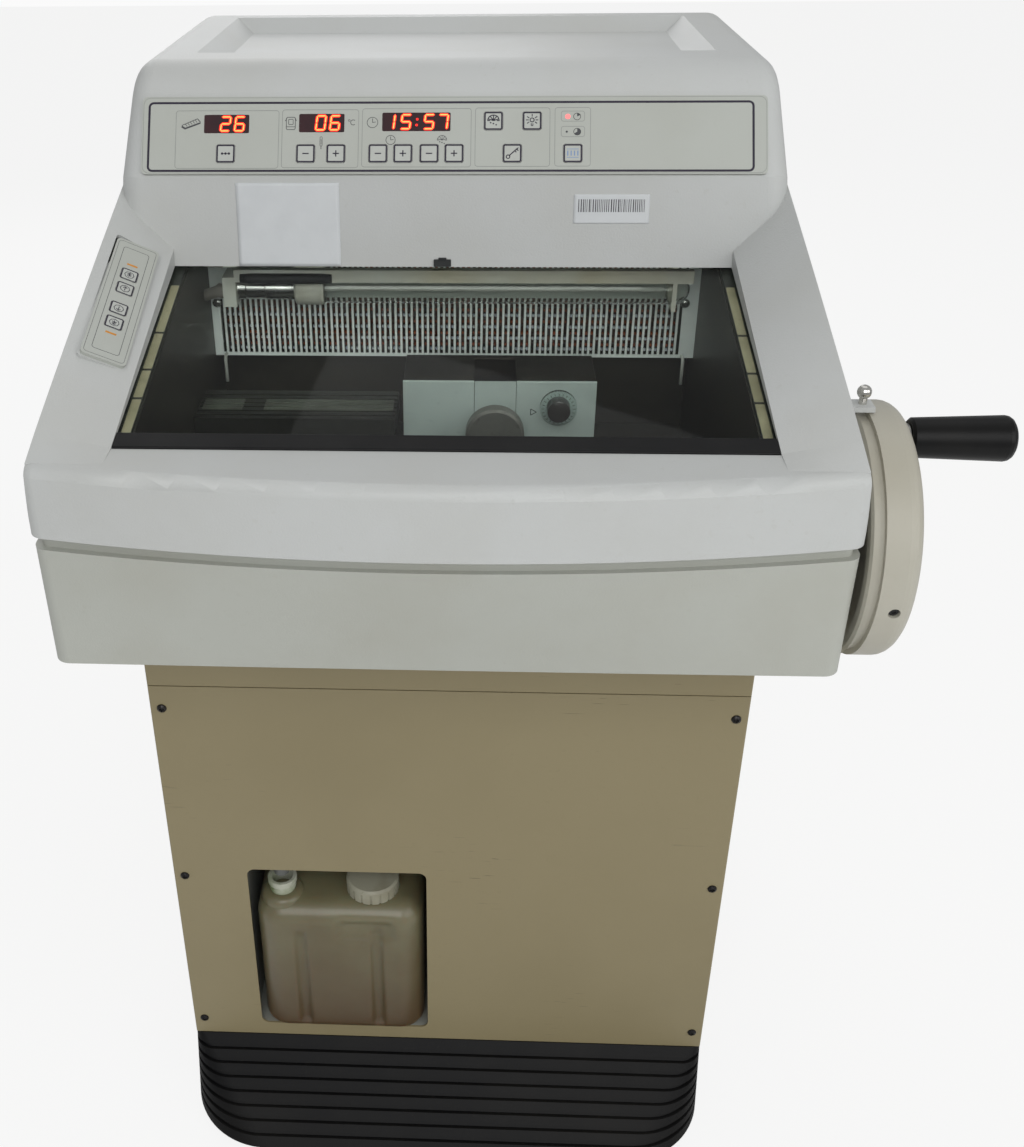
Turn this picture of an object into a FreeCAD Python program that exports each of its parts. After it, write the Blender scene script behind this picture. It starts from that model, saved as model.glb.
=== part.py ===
import FreeCAD, Part
import math
import os

V = FreeCAD.Vector
os.makedirs("parts", exist_ok=True)

# Driving dimensions, in millimetres.
# x runs from the cabinet's middle plane to the handwheel side, y to the back, z up from the floor.
# Each size stands here once; the places of neighbouring pieces are worked out from one another.

# Widths, outwards from the chamber
TUB_HALF = 232.0
WINDOW_LIP = 9.0
WING_WIDTH = 62.0
HOOD_DRAFT = 27.0
SKIRT_OVERHANG = 30.0
OPENING_HALF = TUB_HALF + WINDOW_LIP
HOOD_HALF = OPENING_HALF + WING_WIDTH
HOOD_TOP_HALF = HOOD_HALF - HOOD_DRAFT
BASE_HALF = HOOD_HALF - SKIRT_OVERHANG

# Heights, upwards from the floor
BASE_BOTTOM_Z = 84.0
FRONT_PANEL_HEIGHT = 465.0
HEAD_STRIP_HEIGHT = 116.0
SKIRT_HEIGHT = 115.0
ARMREST_RISE = 58.0
WINDOW_DROP = 1.0
FACE_RISE = 131.5
PANEL_RISE = 59.0
CROWN_RISE = 23.5
PANEL_TOP_EDGE_Z = BASE_BOTTOM_Z + FRONT_PANEL_HEIGHT
SKIRT_BOTTOM_Z = PANEL_TOP_EDGE_Z + HEAD_STRIP_HEIGHT
HOOD_BASE_Z = SKIRT_BOTTOM_Z + SKIRT_HEIGHT
ARMREST_Z = HOOD_BASE_Z + ARMREST_RISE
WINDOW_FRONT_Z = ARMREST_Z - WINDOW_DROP
FACE_TOP_Z = ARMREST_Z + FACE_RISE
PANEL_TOP_Z = FACE_TOP_Z + PANEL_RISE
HOOD_TOP_Z = PANEL_TOP_Z + CROWN_RISE

# Depths, forwards and backwards from the chamber's rear wall
TUB_REAR_Y = 92.0
TOWER_BACK_ROOM = 52.0
TOWER_DEPTH = 140.0
KNIFE_REACH = 140.0
TUB_FRONT_ROOM = 22.0
TUB_FRONT_WALL = 21.0
ARMREST_DEPTH = 30.0
HOOD_BOW = 30.0
OPENING_REAR_ROOM = 125.0
FACE_LEAN = 10.0
PANEL_RUN = 40.0
REAR_ROOM = 293.0
TOWER_REAR_Y = TUB_REAR_Y - TOWER_BACK_ROOM
TOWER_FRONT_Y = TOWER_REAR_Y - TOWER_DEPTH
KNIFE_FRONT_Y = TOWER_FRONT_Y - KNIFE_REACH
TUB_FRONT_Y = KNIFE_FRONT_Y - TUB_FRONT_ROOM
WINDOW_FRONT_Y = TUB_FRONT_Y - TUB_FRONT_WALL
BOW_CORNER_Y = WINDOW_FRONT_Y - ARMREST_DEPTH
BOW_MID_Y = BOW_CORNER_Y - HOOD_BOW
OPENING_REAR_Y = TUB_REAR_Y - OPENING_REAR_ROOM
FACE_TOP_Y = OPENING_REAR_Y + FACE_LEAN
PANEL_TOP_Y = FACE_TOP_Y + PANEL_RUN
REAR_Y = TUB_REAR_Y + REAR_ROOM

# Upper cabinet: hood above, skirt below, a shadow groove between them
HOOD_WALL = 6.0
ARMREST_R = 9.0
PLAN_R = 13.0
PLAN_MARGIN = 30.0
GROOVE_HEIGHT = 12.0
GROOVE_DEPTH = 5.0
SKIRT_WALL = 3.5
SKIRT_SET_BACK = 4.0
SKIRT_BOW = 28.0
FLANGE_LAP = 5.0
FLANGE_FRONT_LAP = 8.0
FLANGE_REAR = 7.0
SKIRT_FRONT_Y = BOW_CORNER_Y + SKIRT_SET_BACK
FLANGE_HALF = BASE_HALF - FLANGE_LAP

# Window plane: the underside of the hood's lips, tilted back
WINDOW_TILT = 13.06
GLASS_LAP = 9.0
GLASS_THICK = 5.0
GLASS_REAR_LAP = 5.36
GLASS_START = 3.3
GLASS_GAP = 1.0
GUIDE_INNER_LAP = 8.0
GUIDE_OUTER_LAP = 21.0
GUIDE_START = 3.0
GUIDE_REACH = 245.0
RAIL_START = 0.5
RAIL_DEPTH = 18.5
RAIL_RISE = 2.5
RAIL_CLEAR = 0.5
SLIDE_CLEAR = 0.3
GLASS_HALF = OPENING_HALF + GLASS_LAP
GUIDE_INNER_X = OPENING_HALF - GUIDE_INNER_LAP
GUIDE_OUTER_X = OPENING_HALF + GUIDE_OUTER_LAP
GUIDE_END_Y = OPENING_REAR_Y + GUIDE_REACH

# Console: steep face, sloping panel, rounded top with a shelf tray
CONSOLE_R = 48.0
REAR_R = 60.0
CONSOLE_CORNER_R = 20.0
TRAY_MARGIN = 44.0
TRAY_FRONT_MARGIN = 71.0
TRAY_REAR_MARGIN = 73.0
TRAY_SLOPE = 20.0
TRAY_DEPTH = 13.0
TRAY_HALF = HOOD_TOP_HALF - TRAY_MARGIN
TRAY_FRONT_Y = PANEL_TOP_Y + TRAY_FRONT_MARGIN
TRAY_REAR_Y = REAR_Y - TRAY_REAR_MARGIN

# Wings beside the window: a low inner edge and a high outer crest
WING_INNER_HEIGHT = 70.7
WING_INNER_RISE = 0.2786
WING_CREST_HEIGHT = 108.0
WING_CREST_RISE = 0.373
WING_CREST_IN = 19.0
WING_CREST_SPREAD = 0.0543
WING_TOP_BACK = 7.0
WING_WALL = 4.0
WING_RAMP = 25.0
WING_TAIL = 111.0
WING_INNER_Z = ARMREST_Z + WING_INNER_HEIGHT
WING_CREST_Z = ARMREST_Z + WING_CREST_HEIGHT
WING_CREST_X = HOOD_HALF - WING_CREST_IN
WING_TOP_Y = OPENING_REAR_Y + WING_TOP_BACK
WING_START_Y = WINDOW_FRONT_Y - WING_RAMP
WING_END_Y = OPENING_REAR_Y + WING_TAIL

# Base cabinet of folded sheet
BASE_SET_BACK = 103.0
SHEET = 2.0
FOLD_R = 1.9
PANEL_RETURN = 14.0
DECK_DROP = 79.0
DECK_THICK = 4.0
PAN_THICK = 4.0
PAN_LAP = 5.0
PAN_CLEAR = 3.0
POST_SIZE = 28.0
POST_THICK = 3.0
FRAME_CLEAR = 1.0
BASE_FRONT_Y = WINDOW_FRONT_Y + BASE_SET_BACK
FLANGE_FRONT_Y = BASE_FRONT_Y + FLANGE_FRONT_LAP
DECK_Z = SKIRT_BOTTOM_Z - DECK_DROP
PAN_HALF = BASE_HALF - PAN_LAP

# Rear sheet: air louvres and the mains inlet
LOUVRE_ROWS = 9
LOUVRE_PITCH = 24.0
LOUVRE_HEIGHT = 8.0
INLET_SIDE = 83.0
INLET_HEIGHT = 46.0
INLET_SIZE = (27.0, 20.0)
INLET_DEPTH = 22.0
INLET_FLANGE = 4.0
INLET_PIN = (2.0, 6.0)
INLET_PIN_PITCH = 7.0
INLET_X = BASE_HALF - INLET_SIDE
INLET_Z = BASE_BOTTOM_Z + INLET_HEIGHT

# Panel screws
SCREW_IN = 11.0
SCREW_EDGE = 22.0
SCREW_TOP_EDGE = 25.0
SCREW_HEAD_R = 4.6
SCREW_HEAD_H = 2.4
SCREW_CROSS_REACH = 2.5
SCREW_CROSS_W = 1.3
SCREW_CROSS_DEPTH = 1.4
SCREW_R = 2.0
SCREW_HOLE_R = 2.3
SCREW_LENGTH = 7.5
SCREW_X = BASE_HALF - SCREW_IN
SCREW_LOW_Z = BASE_BOTTOM_Z + SCREW_EDGE
SCREW_HIGH_Z = PANEL_TOP_EDGE_Z - SCREW_TOP_EDGE
SCREW_ROWS = (SCREW_LOW_Z, (SCREW_LOW_Z + SCREW_HIGH_Z) / 2, SCREW_HIGH_Z)

# Ribbed plinth
PLINTH_FOOT_Z = 9.0
PLINTH_SWELL = 85.0
PLINTH_PROUD = 1.0
PLINTH_CORNER_R = 86.0
PLINTH_TOP_R = 10.0
PLINTH_WALL = 6.0
PLINTH_LEDGE = 4.0
PLINTH_LEDGE_W = 18.0
PLINTH_RIBS = 8
PLINTH_RIB_GAP = 3.6
PLINTH_RIB_DEPTH = 3.5
PLINTH_HALF = BASE_HALF + PLINTH_PROUD
PLINTH_TOP_Y = BASE_FRONT_Y - PLINTH_PROUD
PLINTH_FRONT_Y = PLINTH_TOP_Y - PLINTH_SWELL

# Canister compartment
BAY_SIDE = 74.0
BAY_WIDTH = 179.5
BAY_SILL = 17.5
BAY_HEIGHT = 224.0
BAY_CORNER_R = 8.0
BAY_DEPTH = 150.0
BAY_MARGIN = 6.0
BAY_LEFT_X = BAY_SIDE - BASE_HALF
BAY_RIGHT_X = BAY_LEFT_X + BAY_WIDTH
BAY_BOTTOM_Z = BASE_BOTTOM_Z + BAY_SILL
BAY_TOP_Z = BAY_BOTTOM_Z + BAY_HEIGHT

# Waste canister: body, neck under the drain, screw cap, sunk grip
CANISTER_SIDE_GAP = 4.0
CANISTER_PROUD = 8.0
CANISTER_DEPTH = 128.0
CANISTER_HEIGHT = 176.0
CANISTER_R = 20.0
CANISTER_EDGE_R = 8.0
CANISTER_WALL = 2.5
CANISTER_FLOOR_GAP = 0.4
GRIP_HOLE_SIDE = 83.0
GRIP_HOLE_W = 60.0
GRIP_HOLE_DROP = 15.9
GRIP_HOLE_H = 27.0
GRIP_HOLE_DEPTH = 24.0
NECK_SIDE = 27.0
NECK_BACK = 30.0
NECK_R = 15.0
NECK_HEIGHT = 20.0
CAP_SIDE = 119.0
CAP_BACK = 38.0
CAP_RIBS = 18
CAP_RIB_W = 2.2
CAP_R = 27.0
CAP_HEIGHT = 16.0
PIPE_R = 8.0
PIPE_BORE_R = 5.5
PIPE_GAP = 6.0
CANISTER_LEFT_X = BAY_LEFT_X + CANISTER_SIDE_GAP
CANISTER_RIGHT_X = BAY_RIGHT_X - CANISTER_SIDE_GAP
CANISTER_FRONT_Y = BASE_FRONT_Y - CANISTER_PROUD
CANISTER_LOW_Z = BAY_BOTTOM_Z + CANISTER_FLOOR_GAP
CANISTER_HIGH_Z = CANISTER_LOW_Z + CANISTER_HEIGHT
GRIP_HOLE_X = CANISTER_LEFT_X + GRIP_HOLE_SIDE
GRIP_HOLE_Z = CANISTER_HIGH_Z - GRIP_HOLE_DROP - GRIP_HOLE_H
NECK_X = CANISTER_LEFT_X + NECK_SIDE
NECK_Y = CANISTER_FRONT_Y + NECK_BACK
CAP_X = CANISTER_LEFT_X + CAP_SIDE
CAP_Y = CANISTER_FRONT_Y + CAP_BACK

# Insulated chamber
TUB_FLOOR_RISE = 25.0
TUB_SHEET = 2.0
TUB_FLANGE = 18.0
LINER_DROP = 10.0
SHAFT_ROOM = 2.0
FOAM_SIDE = 48.0
FOAM_FRONT = 36.0
FOAM_REAR = 58.0
TUB_FLOOR_Z = SKIRT_BOTTOM_Z + TUB_FLOOR_RISE
FOAM_HALF = TUB_HALF + FOAM_SIDE
FOAM_FRONT_Y = TUB_FRONT_Y - FOAM_FRONT
FOAM_REAR_Y = TUB_REAR_Y + FOAM_REAR

# Cold plate and comb grille at the back of the chamber
COMB_BACK_ROOM = 36.0
COMB_RISE = 86.0
COMB_HEIGHT = 112.0
COMB_SHEET = 1.5
COMB_SLOT_EDGE = 3.0
COMB_SLOT_HEIGHT = 54.0
COMB_LEFT_EDGE = 10.0
COMB_RIGHT_EDGE = 16.0
COMB_SLOTS = 86
COMB_SLOT_W = 3.0
FIN_COUNT = 44
FIN_THICK = 1.2
FIN_DEPTH = 17.0
FIN_BACK = 3.0
COIL_R = 4.0
COIL_FIRST = 14.0
COIL_PITCH = 18.0
COIL_COUNT = 3
COMB_Y = TUB_REAR_Y - COMB_BACK_ROOM
COMB_BOTTOM_Z = TUB_FLOOR_Z + COMB_RISE
COMB_TOP_Z = COMB_BOTTOM_Z + COMB_HEIGHT
COMB_SLOT_BOTTOM_Z = COMB_BOTTOM_Z + COMB_SLOT_EDGE
COMB_SLOT_TOP_Z = COMB_SLOT_BOTTOM_Z + COMB_SLOT_HEIGHT
COMB_FIRST_X = COMB_LEFT_EDGE - TUB_HALF
COMB_LAST_X = TUB_HALF - COMB_RIGHT_EDGE

# Lamp in front of the comb, under its reflector
LAMP_FORWARD = 26.0
LAMP_RISE = 163.0
LAMP_R = 14.0
LAMP_LEFT_ROOM = 33.0
LAMP_RIGHT_ROOM = 14.0
LAMP_SLEEVE = 54.0
LAMP_SLEEVE_R = 11.0
LAMP_COLLAR_W = 27.0
LAMP_COLLAR_R = 15.5
LAMP_DOME_STEPS = 4
REFLECTOR_GAP = 7.0
REFLECTOR_REACH = 4.0
REFLECTOR_LIP = 10.0
HOLDER_BLOCK = 12.0
CLIP_IN = 18.0
CLIP_W = 4.0
CLIP_WALL = 2.0
LAMP_Y = COMB_Y - LAMP_FORWARD
LAMP_Z = TUB_FLOOR_Z + LAMP_RISE
LAMP_LEFT_X = LAMP_LEFT_ROOM - TUB_HALF
LAMP_RIGHT_X = TUB_HALF - LAMP_RIGHT_ROOM
REFLECTOR_Z = LAMP_Z + LAMP_R + REFLECTOR_GAP

# Freezing shelf on the left wall
SHELF_TOWER_GAP = 10.0
SHELF_BACK_ROOM = 54.0
SHELF_DEPTH = 64.0
SHELF_RISE = 72.0
SHELF_THICK = 16.0
SHELF_RIDGES = 7
SHELF_RIDGE_SHARE = 0.7
SHELF_GROOVE = 2.5
SHELF_REAR_Y = COMB_Y - SHELF_BACK_ROOM
SHELF_FRONT_Y = SHELF_REAR_Y - SHELF_DEPTH
SHELF_Z = TUB_FLOOR_Z + SHELF_RISE

# Microtome: tower with the specimen slot, drive arm to the handwheel, base
TOWER_LEFT_X = -39.0
TOWER_WIDTH = 165.0
TOWER_HEIGHT = 125.0
TOWER_EDGE_R = 3.0
HEAD_SIDE = 79.0
HEAD_RISE = 84.0
SLOT_HALF = 18.0
SLOT_FLOOR_RISE = 26.0
SLOT_DEPTH = 56.0
SLIDE_HEIGHT = 36.0
SLIDE_DEPTH = 38.0
SLIDE_BACK = 2.0
HEAD_ROD_R = 9.0
HEAD_ROD_TAIL = 12.0
HEAD_DISC_R = 25.0
HEAD_DISC_THICK = 12.0
HEAD_DISC_EDGE = 2.0
HEAD_STAND_OFF = 12.0
RUNNING_FIT = 0.05
DRIVE_ARM_W = 30.0
DRIVE_ARM_HEIGHT = 85.0
SHAFT_SEAT = 20.0
SHAFT_END_PLAY = 0.5
KNIFE_BASE_THICK = 14.0
KNIFE_SLAB_THICK = 12.0
KNIFE_SLAB_IN = 4.0
KNIFE_SLAB_BACK = 16.0
KNIFE_BASE_HALF = 40.0
KEYWAY_HALF = 10.0
KEYWAY_DEPTH = 6.0
TOWER_RIGHT_X = TOWER_LEFT_X + TOWER_WIDTH
TOWER_TOP_Z = TUB_FLOOR_Z + TOWER_HEIGHT
HEAD_X = TOWER_LEFT_X + HEAD_SIDE
HEAD_Z = TUB_FLOOR_Z + HEAD_RISE
SLOT_FLOOR_Z = TUB_FLOOR_Z + SLOT_FLOOR_RISE
KNIFE_BASE_Z = TUB_FLOOR_Z + KNIFE_BASE_THICK
KNIFE_TOP_Z = KNIFE_BASE_Z + KNIFE_SLAB_THICK
SHELF_RIGHT_X = TOWER_LEFT_X - SHELF_TOWER_GAP

# Knife holder, blade and anti-roll plate
HOLDER_HALF = 38.0
HOLDER_KNIFE_GAP = 56.0
HOLDER_DEPTH = 69.0
HOLDER_HEIGHT = 56.0
HOLDER_TOP_DEPTH = 44.0
HOLDER_NOSE = 22.0
LEAN_RISE = 19.0
LEAN = 12.0
HINGE_BACK = 29.0
HINGE_RISE = 4.5
HINGE_R = 2.5
HINGE_WALL = 2.5
HINGE_LUG = 4.0
HINGE_LUG_HALF = 6.0
BLADE_LOW = 10.0
BLADE_PROUD = 10.0
BLADE_EDGE = 3.0
BLADE_EDGE_THICK = 0.1
BLADE_THICK = 0.8
BLADE_SIDE = 2.0
GUARD_THICK = 2.0
GUARD_LIFT = 1.0
GUARD_BARREL_WALL = 1.0
GUARD_REAR_GAP = 1.5
HOLDER_LEFT_X = HEAD_X - HOLDER_HALF
HOLDER_RIGHT_X = HEAD_X + HOLDER_HALF
HOLDER_REAR_Y = TOWER_FRONT_Y - HOLDER_KNIFE_GAP
HOLDER_FRONT_Y = HOLDER_REAR_Y - HOLDER_DEPTH
HOLDER_TOP_Z = KNIFE_TOP_Z + HOLDER_HEIGHT
LEAN_LOW_Z = KNIFE_TOP_Z + LEAN_RISE
HINGE_Y = HOLDER_REAR_Y - HINGE_BACK
HINGE_Z = HOLDER_TOP_Z + HINGE_RISE

# Section thickness dial: skirt that carries the scale, narrower fluted knob
DIAL_SIDE = 32.0
DIAL_DROP = 22.0
DIAL_R = 16.0
DIAL_THICK = 14.0
DIAL_KNOB_R = 10.0
DIAL_KNOB_LENGTH = 7.0
DIAL_SHOULDER = 8.4
DIAL_STEM_R = 5.0
DIAL_STEM = 20.0
DIAL_FLUTES = 12
DIAL_FLUTE_R = 1.76
DIAL_X = TOWER_RIGHT_X - DIAL_SIDE
DIAL_Z = TOWER_TOP_Z - DIAL_DROP

# Handwheel
WHEEL_FORWARD = 106.0
WHEEL_RISE = 48.0
WHEEL_R = 101.5
WHEEL_HOOD_GAP = 7.0
WHEEL_THICK = 40.0
WHEEL_EDGE_R = 12.0
WHEEL_EDGE_STEPS = 6
WHEEL_BACK_EDGE = (1.5, 3.0)
WHEEL_RIM = 11.0
WHEEL_RIM_SLOPE = 4.0
WHEEL_WEB = 8.0
RIM_HOLE_IN = 16.0
RIM_HOLE_TURN = 100.0
RIM_HOLE_R = 4.5
RIM_HOLE_DEPTH = 8.0
HUB_R = 22.0
SHAFT_R = 12.0
SHAFT_PROUD = 2.0
SHAFT_BEVEL = 1.0
BRAKE_GROOVE_IN = 6.0
BRAKE_GROOVE_W = 9.0
BRAKE_GROOVE_DEPTH = 4.5
WHEEL_Y = TOWER_FRONT_Y - WHEEL_FORWARD
WHEEL_Z = TUB_FLOOR_Z + WHEEL_RISE
WHEEL_BACK_X = HOOD_HALF + WHEEL_HOOD_GAP
WHEEL_FACE_X = WHEEL_BACK_X + WHEEL_THICK
RIM_HOLE_X = WHEEL_FACE_X - RIM_HOLE_IN

# Crank handle: axle in the wheel, grip that spins on it
CRANK = 79.0
GRIP_START_R = 15.5
GRIP_END_R = 17.8
GRIP_REACH = 83.0
GRIP_CLEAR = 0.6
GRIP_BEVEL = 2.0
GRIP_END = 8.0
GRIP_DOME = 7.0
GRIP_DOME_STEPS = 4
AXLE_R = 6.0
AXLE_COLLAR_R = 11.0
AXLE_COLLAR = 4.0
AXLE_SEAT = 12.0
GRIP_TIP_X = WHEEL_FACE_X + GRIP_REACH

# Shaft bearing in the side wall
BEARING_FLANGE_R = 34.0
BEARING_FLANGE = 4.5
BEARING_BEVEL = 1.0
BEARING_BODY_R = 19.0
BEARING_DEPTH = 40.0

# Wheel lock: sprung pin with a ball knob, guided in a lug of the hood
PLUNGER_R = 3.0
PLUNGER_BALL_R = 5.5
PLUNGER_BALL_STEPS = 8
PLUNGER_TRAVEL = 4.0
PLUNGER_WHEEL_GAP = 0.5
LUG_WHEEL_GAP = 1.5
LUG_THICK = 4.0
LUG_HALF = 8.0
PLUNGER_X = WHEEL_BACK_X + BRAKE_GROOVE_IN
PLUNGER_Y = WHEEL_Y
LUG_Z = WHEEL_Z + WHEEL_R + LUG_WHEEL_GAP

# Refrigeration: compressor, condenser with shroud, fan and motor
COMPRESSOR_SIDE = 138.0
COMPRESSOR_FORWARD = 185.0
COMPRESSOR_R = 78.0
COMPRESSOR_SEAM = 3.0
COMPRESSOR_H = 190.0
COMPRESSOR_PLATE = 4.0
COMPRESSOR_PLATE_HALF = (85.8, 54.6)
CONDENSER_SIDE = 33.0
CONDENSER_WIDTH = 260.0
CONDENSER_HEIGHT = 246.0
CONDENSER_FORWARD = 85.0
CONDENSER_DEPTH = 44.0
CONDENSER_FINS = 26
CONDENSER_FIN_THICK = 2.0
SHROUD_CLEAR = 4.0
FAN_R = 88.0
FAN_BLADES = 5
FAN_HUB_R = 20.0
FAN_HUB_LAP = 3.0
FAN_DEPTH = 16.0
FAN_VANE = 18.0
FAN_VANE_THICK = 2.0
FAN_VANE_PITCH = 62.0
FAN_GAP = 1.0
MOTOR_R = 28.0
MOTOR_FORWARD = 86.0
MOTOR_DEPTH = 36.0
MOTOR_WALL = 4.0
MOTOR_BAR_HALF = 9.0
MOTOR_BAR_EDGE = 6.0
FAN_SHAFT_R = 4.0
FAN_SHAFT_END = 6.0
COMPRESSOR_X = BASE_HALF - COMPRESSOR_SIDE
COMPRESSOR_Y = REAR_Y - COMPRESSOR_FORWARD
CONDENSER_LEFT_X = CONDENSER_SIDE - BASE_HALF
CONDENSER_RIGHT_X = CONDENSER_LEFT_X + CONDENSER_WIDTH
CONDENSER_BOTTOM_Z = BASE_BOTTOM_Z
CONDENSER_TOP_Z = CONDENSER_BOTTOM_Z + CONDENSER_HEIGHT
CONDENSER_Y = REAR_Y - CONDENSER_FORWARD
MOTOR_Y = CONDENSER_Y - MOTOR_FORWARD

# Feet and wheels
FOOT_SIDE = 45.0
FOOT_BACK = 52.0
FOOT_R = 20.0
FOOT_PAD = 9.0
FOOT_PAD_RIM = 5.4
FOOT_PAD_TOP_R = 12.0
FOOT_STEM_R = 6.0
FOOT_BOSS_R = 14.0
FOOT_BOSS = 30.0
WHEEL_RADIUS = 25.0
WHEEL_WIDTH = 18.0
WHEEL_BEVEL = 2.5
WHEEL_AXLE_R = 4.0
CASTOR_FORWARD = 50.0
FORK_GAP = 1.0
FORK_THICK = 3.0
FORK_PLATE_HALF = 20.0
FORK_CHEEK_HALF = 12.5
FOOT_X = BASE_HALF - FOOT_SIDE
FOOT_Y = BASE_FRONT_Y + FOOT_BACK
CASTOR_X = FOOT_X
CASTOR_Y = REAR_Y - CASTOR_FORWARD

# Operating panels: key centres as (name, along x, up the slope)
KEY_SIZE = 16.0
KEY_CORNER_R = 2.6
KEY_GAP = 0.3
KEY_PROUD = 0.25
KEY_TRAVEL = 0.4
KEY_FLOOR = 0.2
OVERLAY_THICK = 3.0
OVERLAY_MARGIN = 12.0
OVERLAY_EDGE = 1.5
OVERLAY_HEIGHT = 67.5
OVERLAY_R = 4.0
LOWER_ROW = 19.3
UPPER_ROW = 47.3
CONSOLE_KEYS = (
    ("key_rapid", -191.7, LOWER_ROW),
    ("key_chamber_down", -123.4, LOWER_ROW),
    ("key_chamber_up", -97.6, LOWER_ROW),
    ("key_clock_hours", -61.9, LOWER_ROW),
    ("key_clock_minutes", -40.8, LOWER_ROW),
    ("key_defrost_earlier", -18.7, LOWER_ROW),
    ("key_defrost_later", 2.4, LOWER_ROW),
    ("key_defrost", 35.2, UPPER_ROW),
    ("key_light", 67.7, UPPER_ROW),
    ("key_lock", 51.3, LOWER_ROW),
    ("key_disinfect", 102.0, LOWER_ROW),
)
SIDE_PAD_WIDTH = 36.0
SIDE_PAD_LENGTH = 150.0
SIDE_PAD_RIM = 1.5
SIDE_PAD_SIDE = 24.5
SIDE_PAD_BACK = 153.0
SIDE_PAD_TURN = 8.2
SIDE_PAD_LIFT = 2.0
SIDE_KEY_SIZE = 14.0
SIDE_KEYS = (
    ("key_feed_fast_up", 32.0),
    ("key_feed_up", 13.6),
    ("key_feed_down", -12.3),
    ("key_feed_fast_down", -30.4),
)
OVERLAY_HALF = HOOD_TOP_HALF - OVERLAY_MARGIN
SIDE_PAD_X = -OPENING_HALF - SIDE_PAD_SIDE
SIDE_PAD_Y = WINDOW_FRONT_Y + SIDE_PAD_BACK

# The frame's origin is the floor point under the middle of the whole machine, grip included.
FRAME_SHIFT = V(-(GRIP_TIP_X - HOOD_HALF) / 2, -(REAR_Y + BOW_MID_Y) / 2, 0)

BIG = 2000.0
TILT = math.radians(WINDOW_TILT)
GLASS_LENGTH = (OPENING_REAR_Y - WINDOW_FRONT_Y) / math.cos(TILT) + GLASS_REAR_LAP


def box(x0, x1, y0, y1, z0, z1):
    return Part.makeBox(x1 - x0, y1 - y0, z1 - z0, V(x0, y0, z0))


def rod(radius, start, end):
    axis = end - start
    return Part.makeCylinder(radius, axis.Length, start, axis)


def face_of(points):
    return Part.Face(Part.makePolygon(points + [points[0]]))


def prism_x(points, x0, x1):
    """Solid with a (y, z) outline between two x planes."""
    return face_of([V(x0, y, z) for y, z in points]).extrude(V(x1 - x0, 0, 0))


def prism_y(points, y0, y1):
    """Solid with an (x, z) outline between two y planes."""
    return face_of([V(x, y0, z) for x, z in points]).extrude(V(0, y1 - y0, 0))


def prism_z(points, z0, z1):
    """Solid with an (x, y) outline between two z planes."""
    return face_of([V(x, y, z0) for x, y in points]).extrude(V(0, 0, z1 - z0))


def turned(points, start, axis):
    """Solid of revolution: points are (distance along the axis, radius)."""
    axis = V(axis).normalize()
    side = axis.cross(V(0, 0, 1)) if abs(axis.z) < 0.9 else V(1, 0, 0)
    side.normalize()
    outline = [start + axis * along + side * radius for along, radius in points]
    return face_of(outline).revolve(start, axis, 360)


def edges_where(shape, test):
    return [edge for edge in shape.Edges if test(edge)]


def upright(edge):
    """A near-vertical straight edge."""
    a, b = edge.Vertexes[0].Point, edge.Vertexes[-1].Point
    rise = abs(a.z - b.z)
    return rise > 1.0 and math.hypot(a.x - b.x, a.y - b.y) < rise


def slab_on(origin, along, across, out, half_w, low, high, deep, thick, corner):
    """Rounded rectangular slab on a tilted plane, from deep to thick along the outward axis."""
    slab = Part.makeBox(2 * half_w, high - low, thick - deep)
    slab = slab.makeFillet(corner, edges_where(slab, upright))
    slab.translate(V(-half_w, low, deep))
    turn = FreeCAD.Matrix(
        across.x, along.x, out.x, origin.x,
        across.y, along.y, out.y, origin.y,
        across.z, along.z, out.z, origin.z,
        0, 0, 0, 1)
    return slab.transformed(turn)


def join(first, *others):
    return first.fuse(list(others)).removeSplitter()


def save(node, *solids):
    """Write one node: its solids in the machine's frame."""
    loose = [solid for shape in solids for solid in shape.Solids]
    shape = loose[0].copy() if len(loose) == 1 else Part.makeCompound(loose)
    shape.translate(FRAME_SHIFT)
    shape.exportStep("parts/" + node + ".step")


# Outlines and planes shared by several pieces


def bowed_outline(half, mid_y, corner_y, rear_y, z):
    """Plan outline: bowed front, straight sides and back."""
    left = V(-half, corner_y, z)
    right = V(half, corner_y, z)
    rear_right = V(half, rear_y, z)
    rear_left = V(-half, rear_y, z)
    return Part.Wire([
        Part.Arc(left, V(0, mid_y, z), right).toShape(),
        Part.makeLine(right, rear_right),
        Part.makeLine(rear_right, rear_left),
        Part.makeLine(rear_left, left)])


def shrunk_outline(points, inset):
    """Outline whose sides are all moved inwards by inset; the points run clockwise."""
    lines = []
    for (a, b), (c, d) in zip(points, points[1:] + points[:1]):
        length = math.hypot(c - a, d - b)
        u, v = (c - a) / length, (d - b) / length
        lines.append((a + v * inset, b - u * inset, u, v))
    result = []
    for (a, b, u, v), (c, d, p, q) in zip([lines[-1]] + lines[:-1], lines):
        share = ((c - a) * q - (d - b) * p) / (u * q - v * p)
        result.append((a + u * share, b + v * share))
    return result


def window_z(y):
    """Height of the window plane, the underside of the hood's lips."""
    return WINDOW_FRONT_Z + (y - WINDOW_FRONT_Y) * math.tan(TILT)


def below_window(drop, x_half, y0=-BIG, y1=BIG):
    """Everything under the window plane lowered by drop, measured square to the plane."""
    low = drop / math.cos(TILT)
    outline = [(y0, -BIG), (y1, -BIG), (y1, window_z(y1) - low), (y0, window_z(y0) - low)]
    return prism_x(outline, -x_half, x_half)


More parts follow.
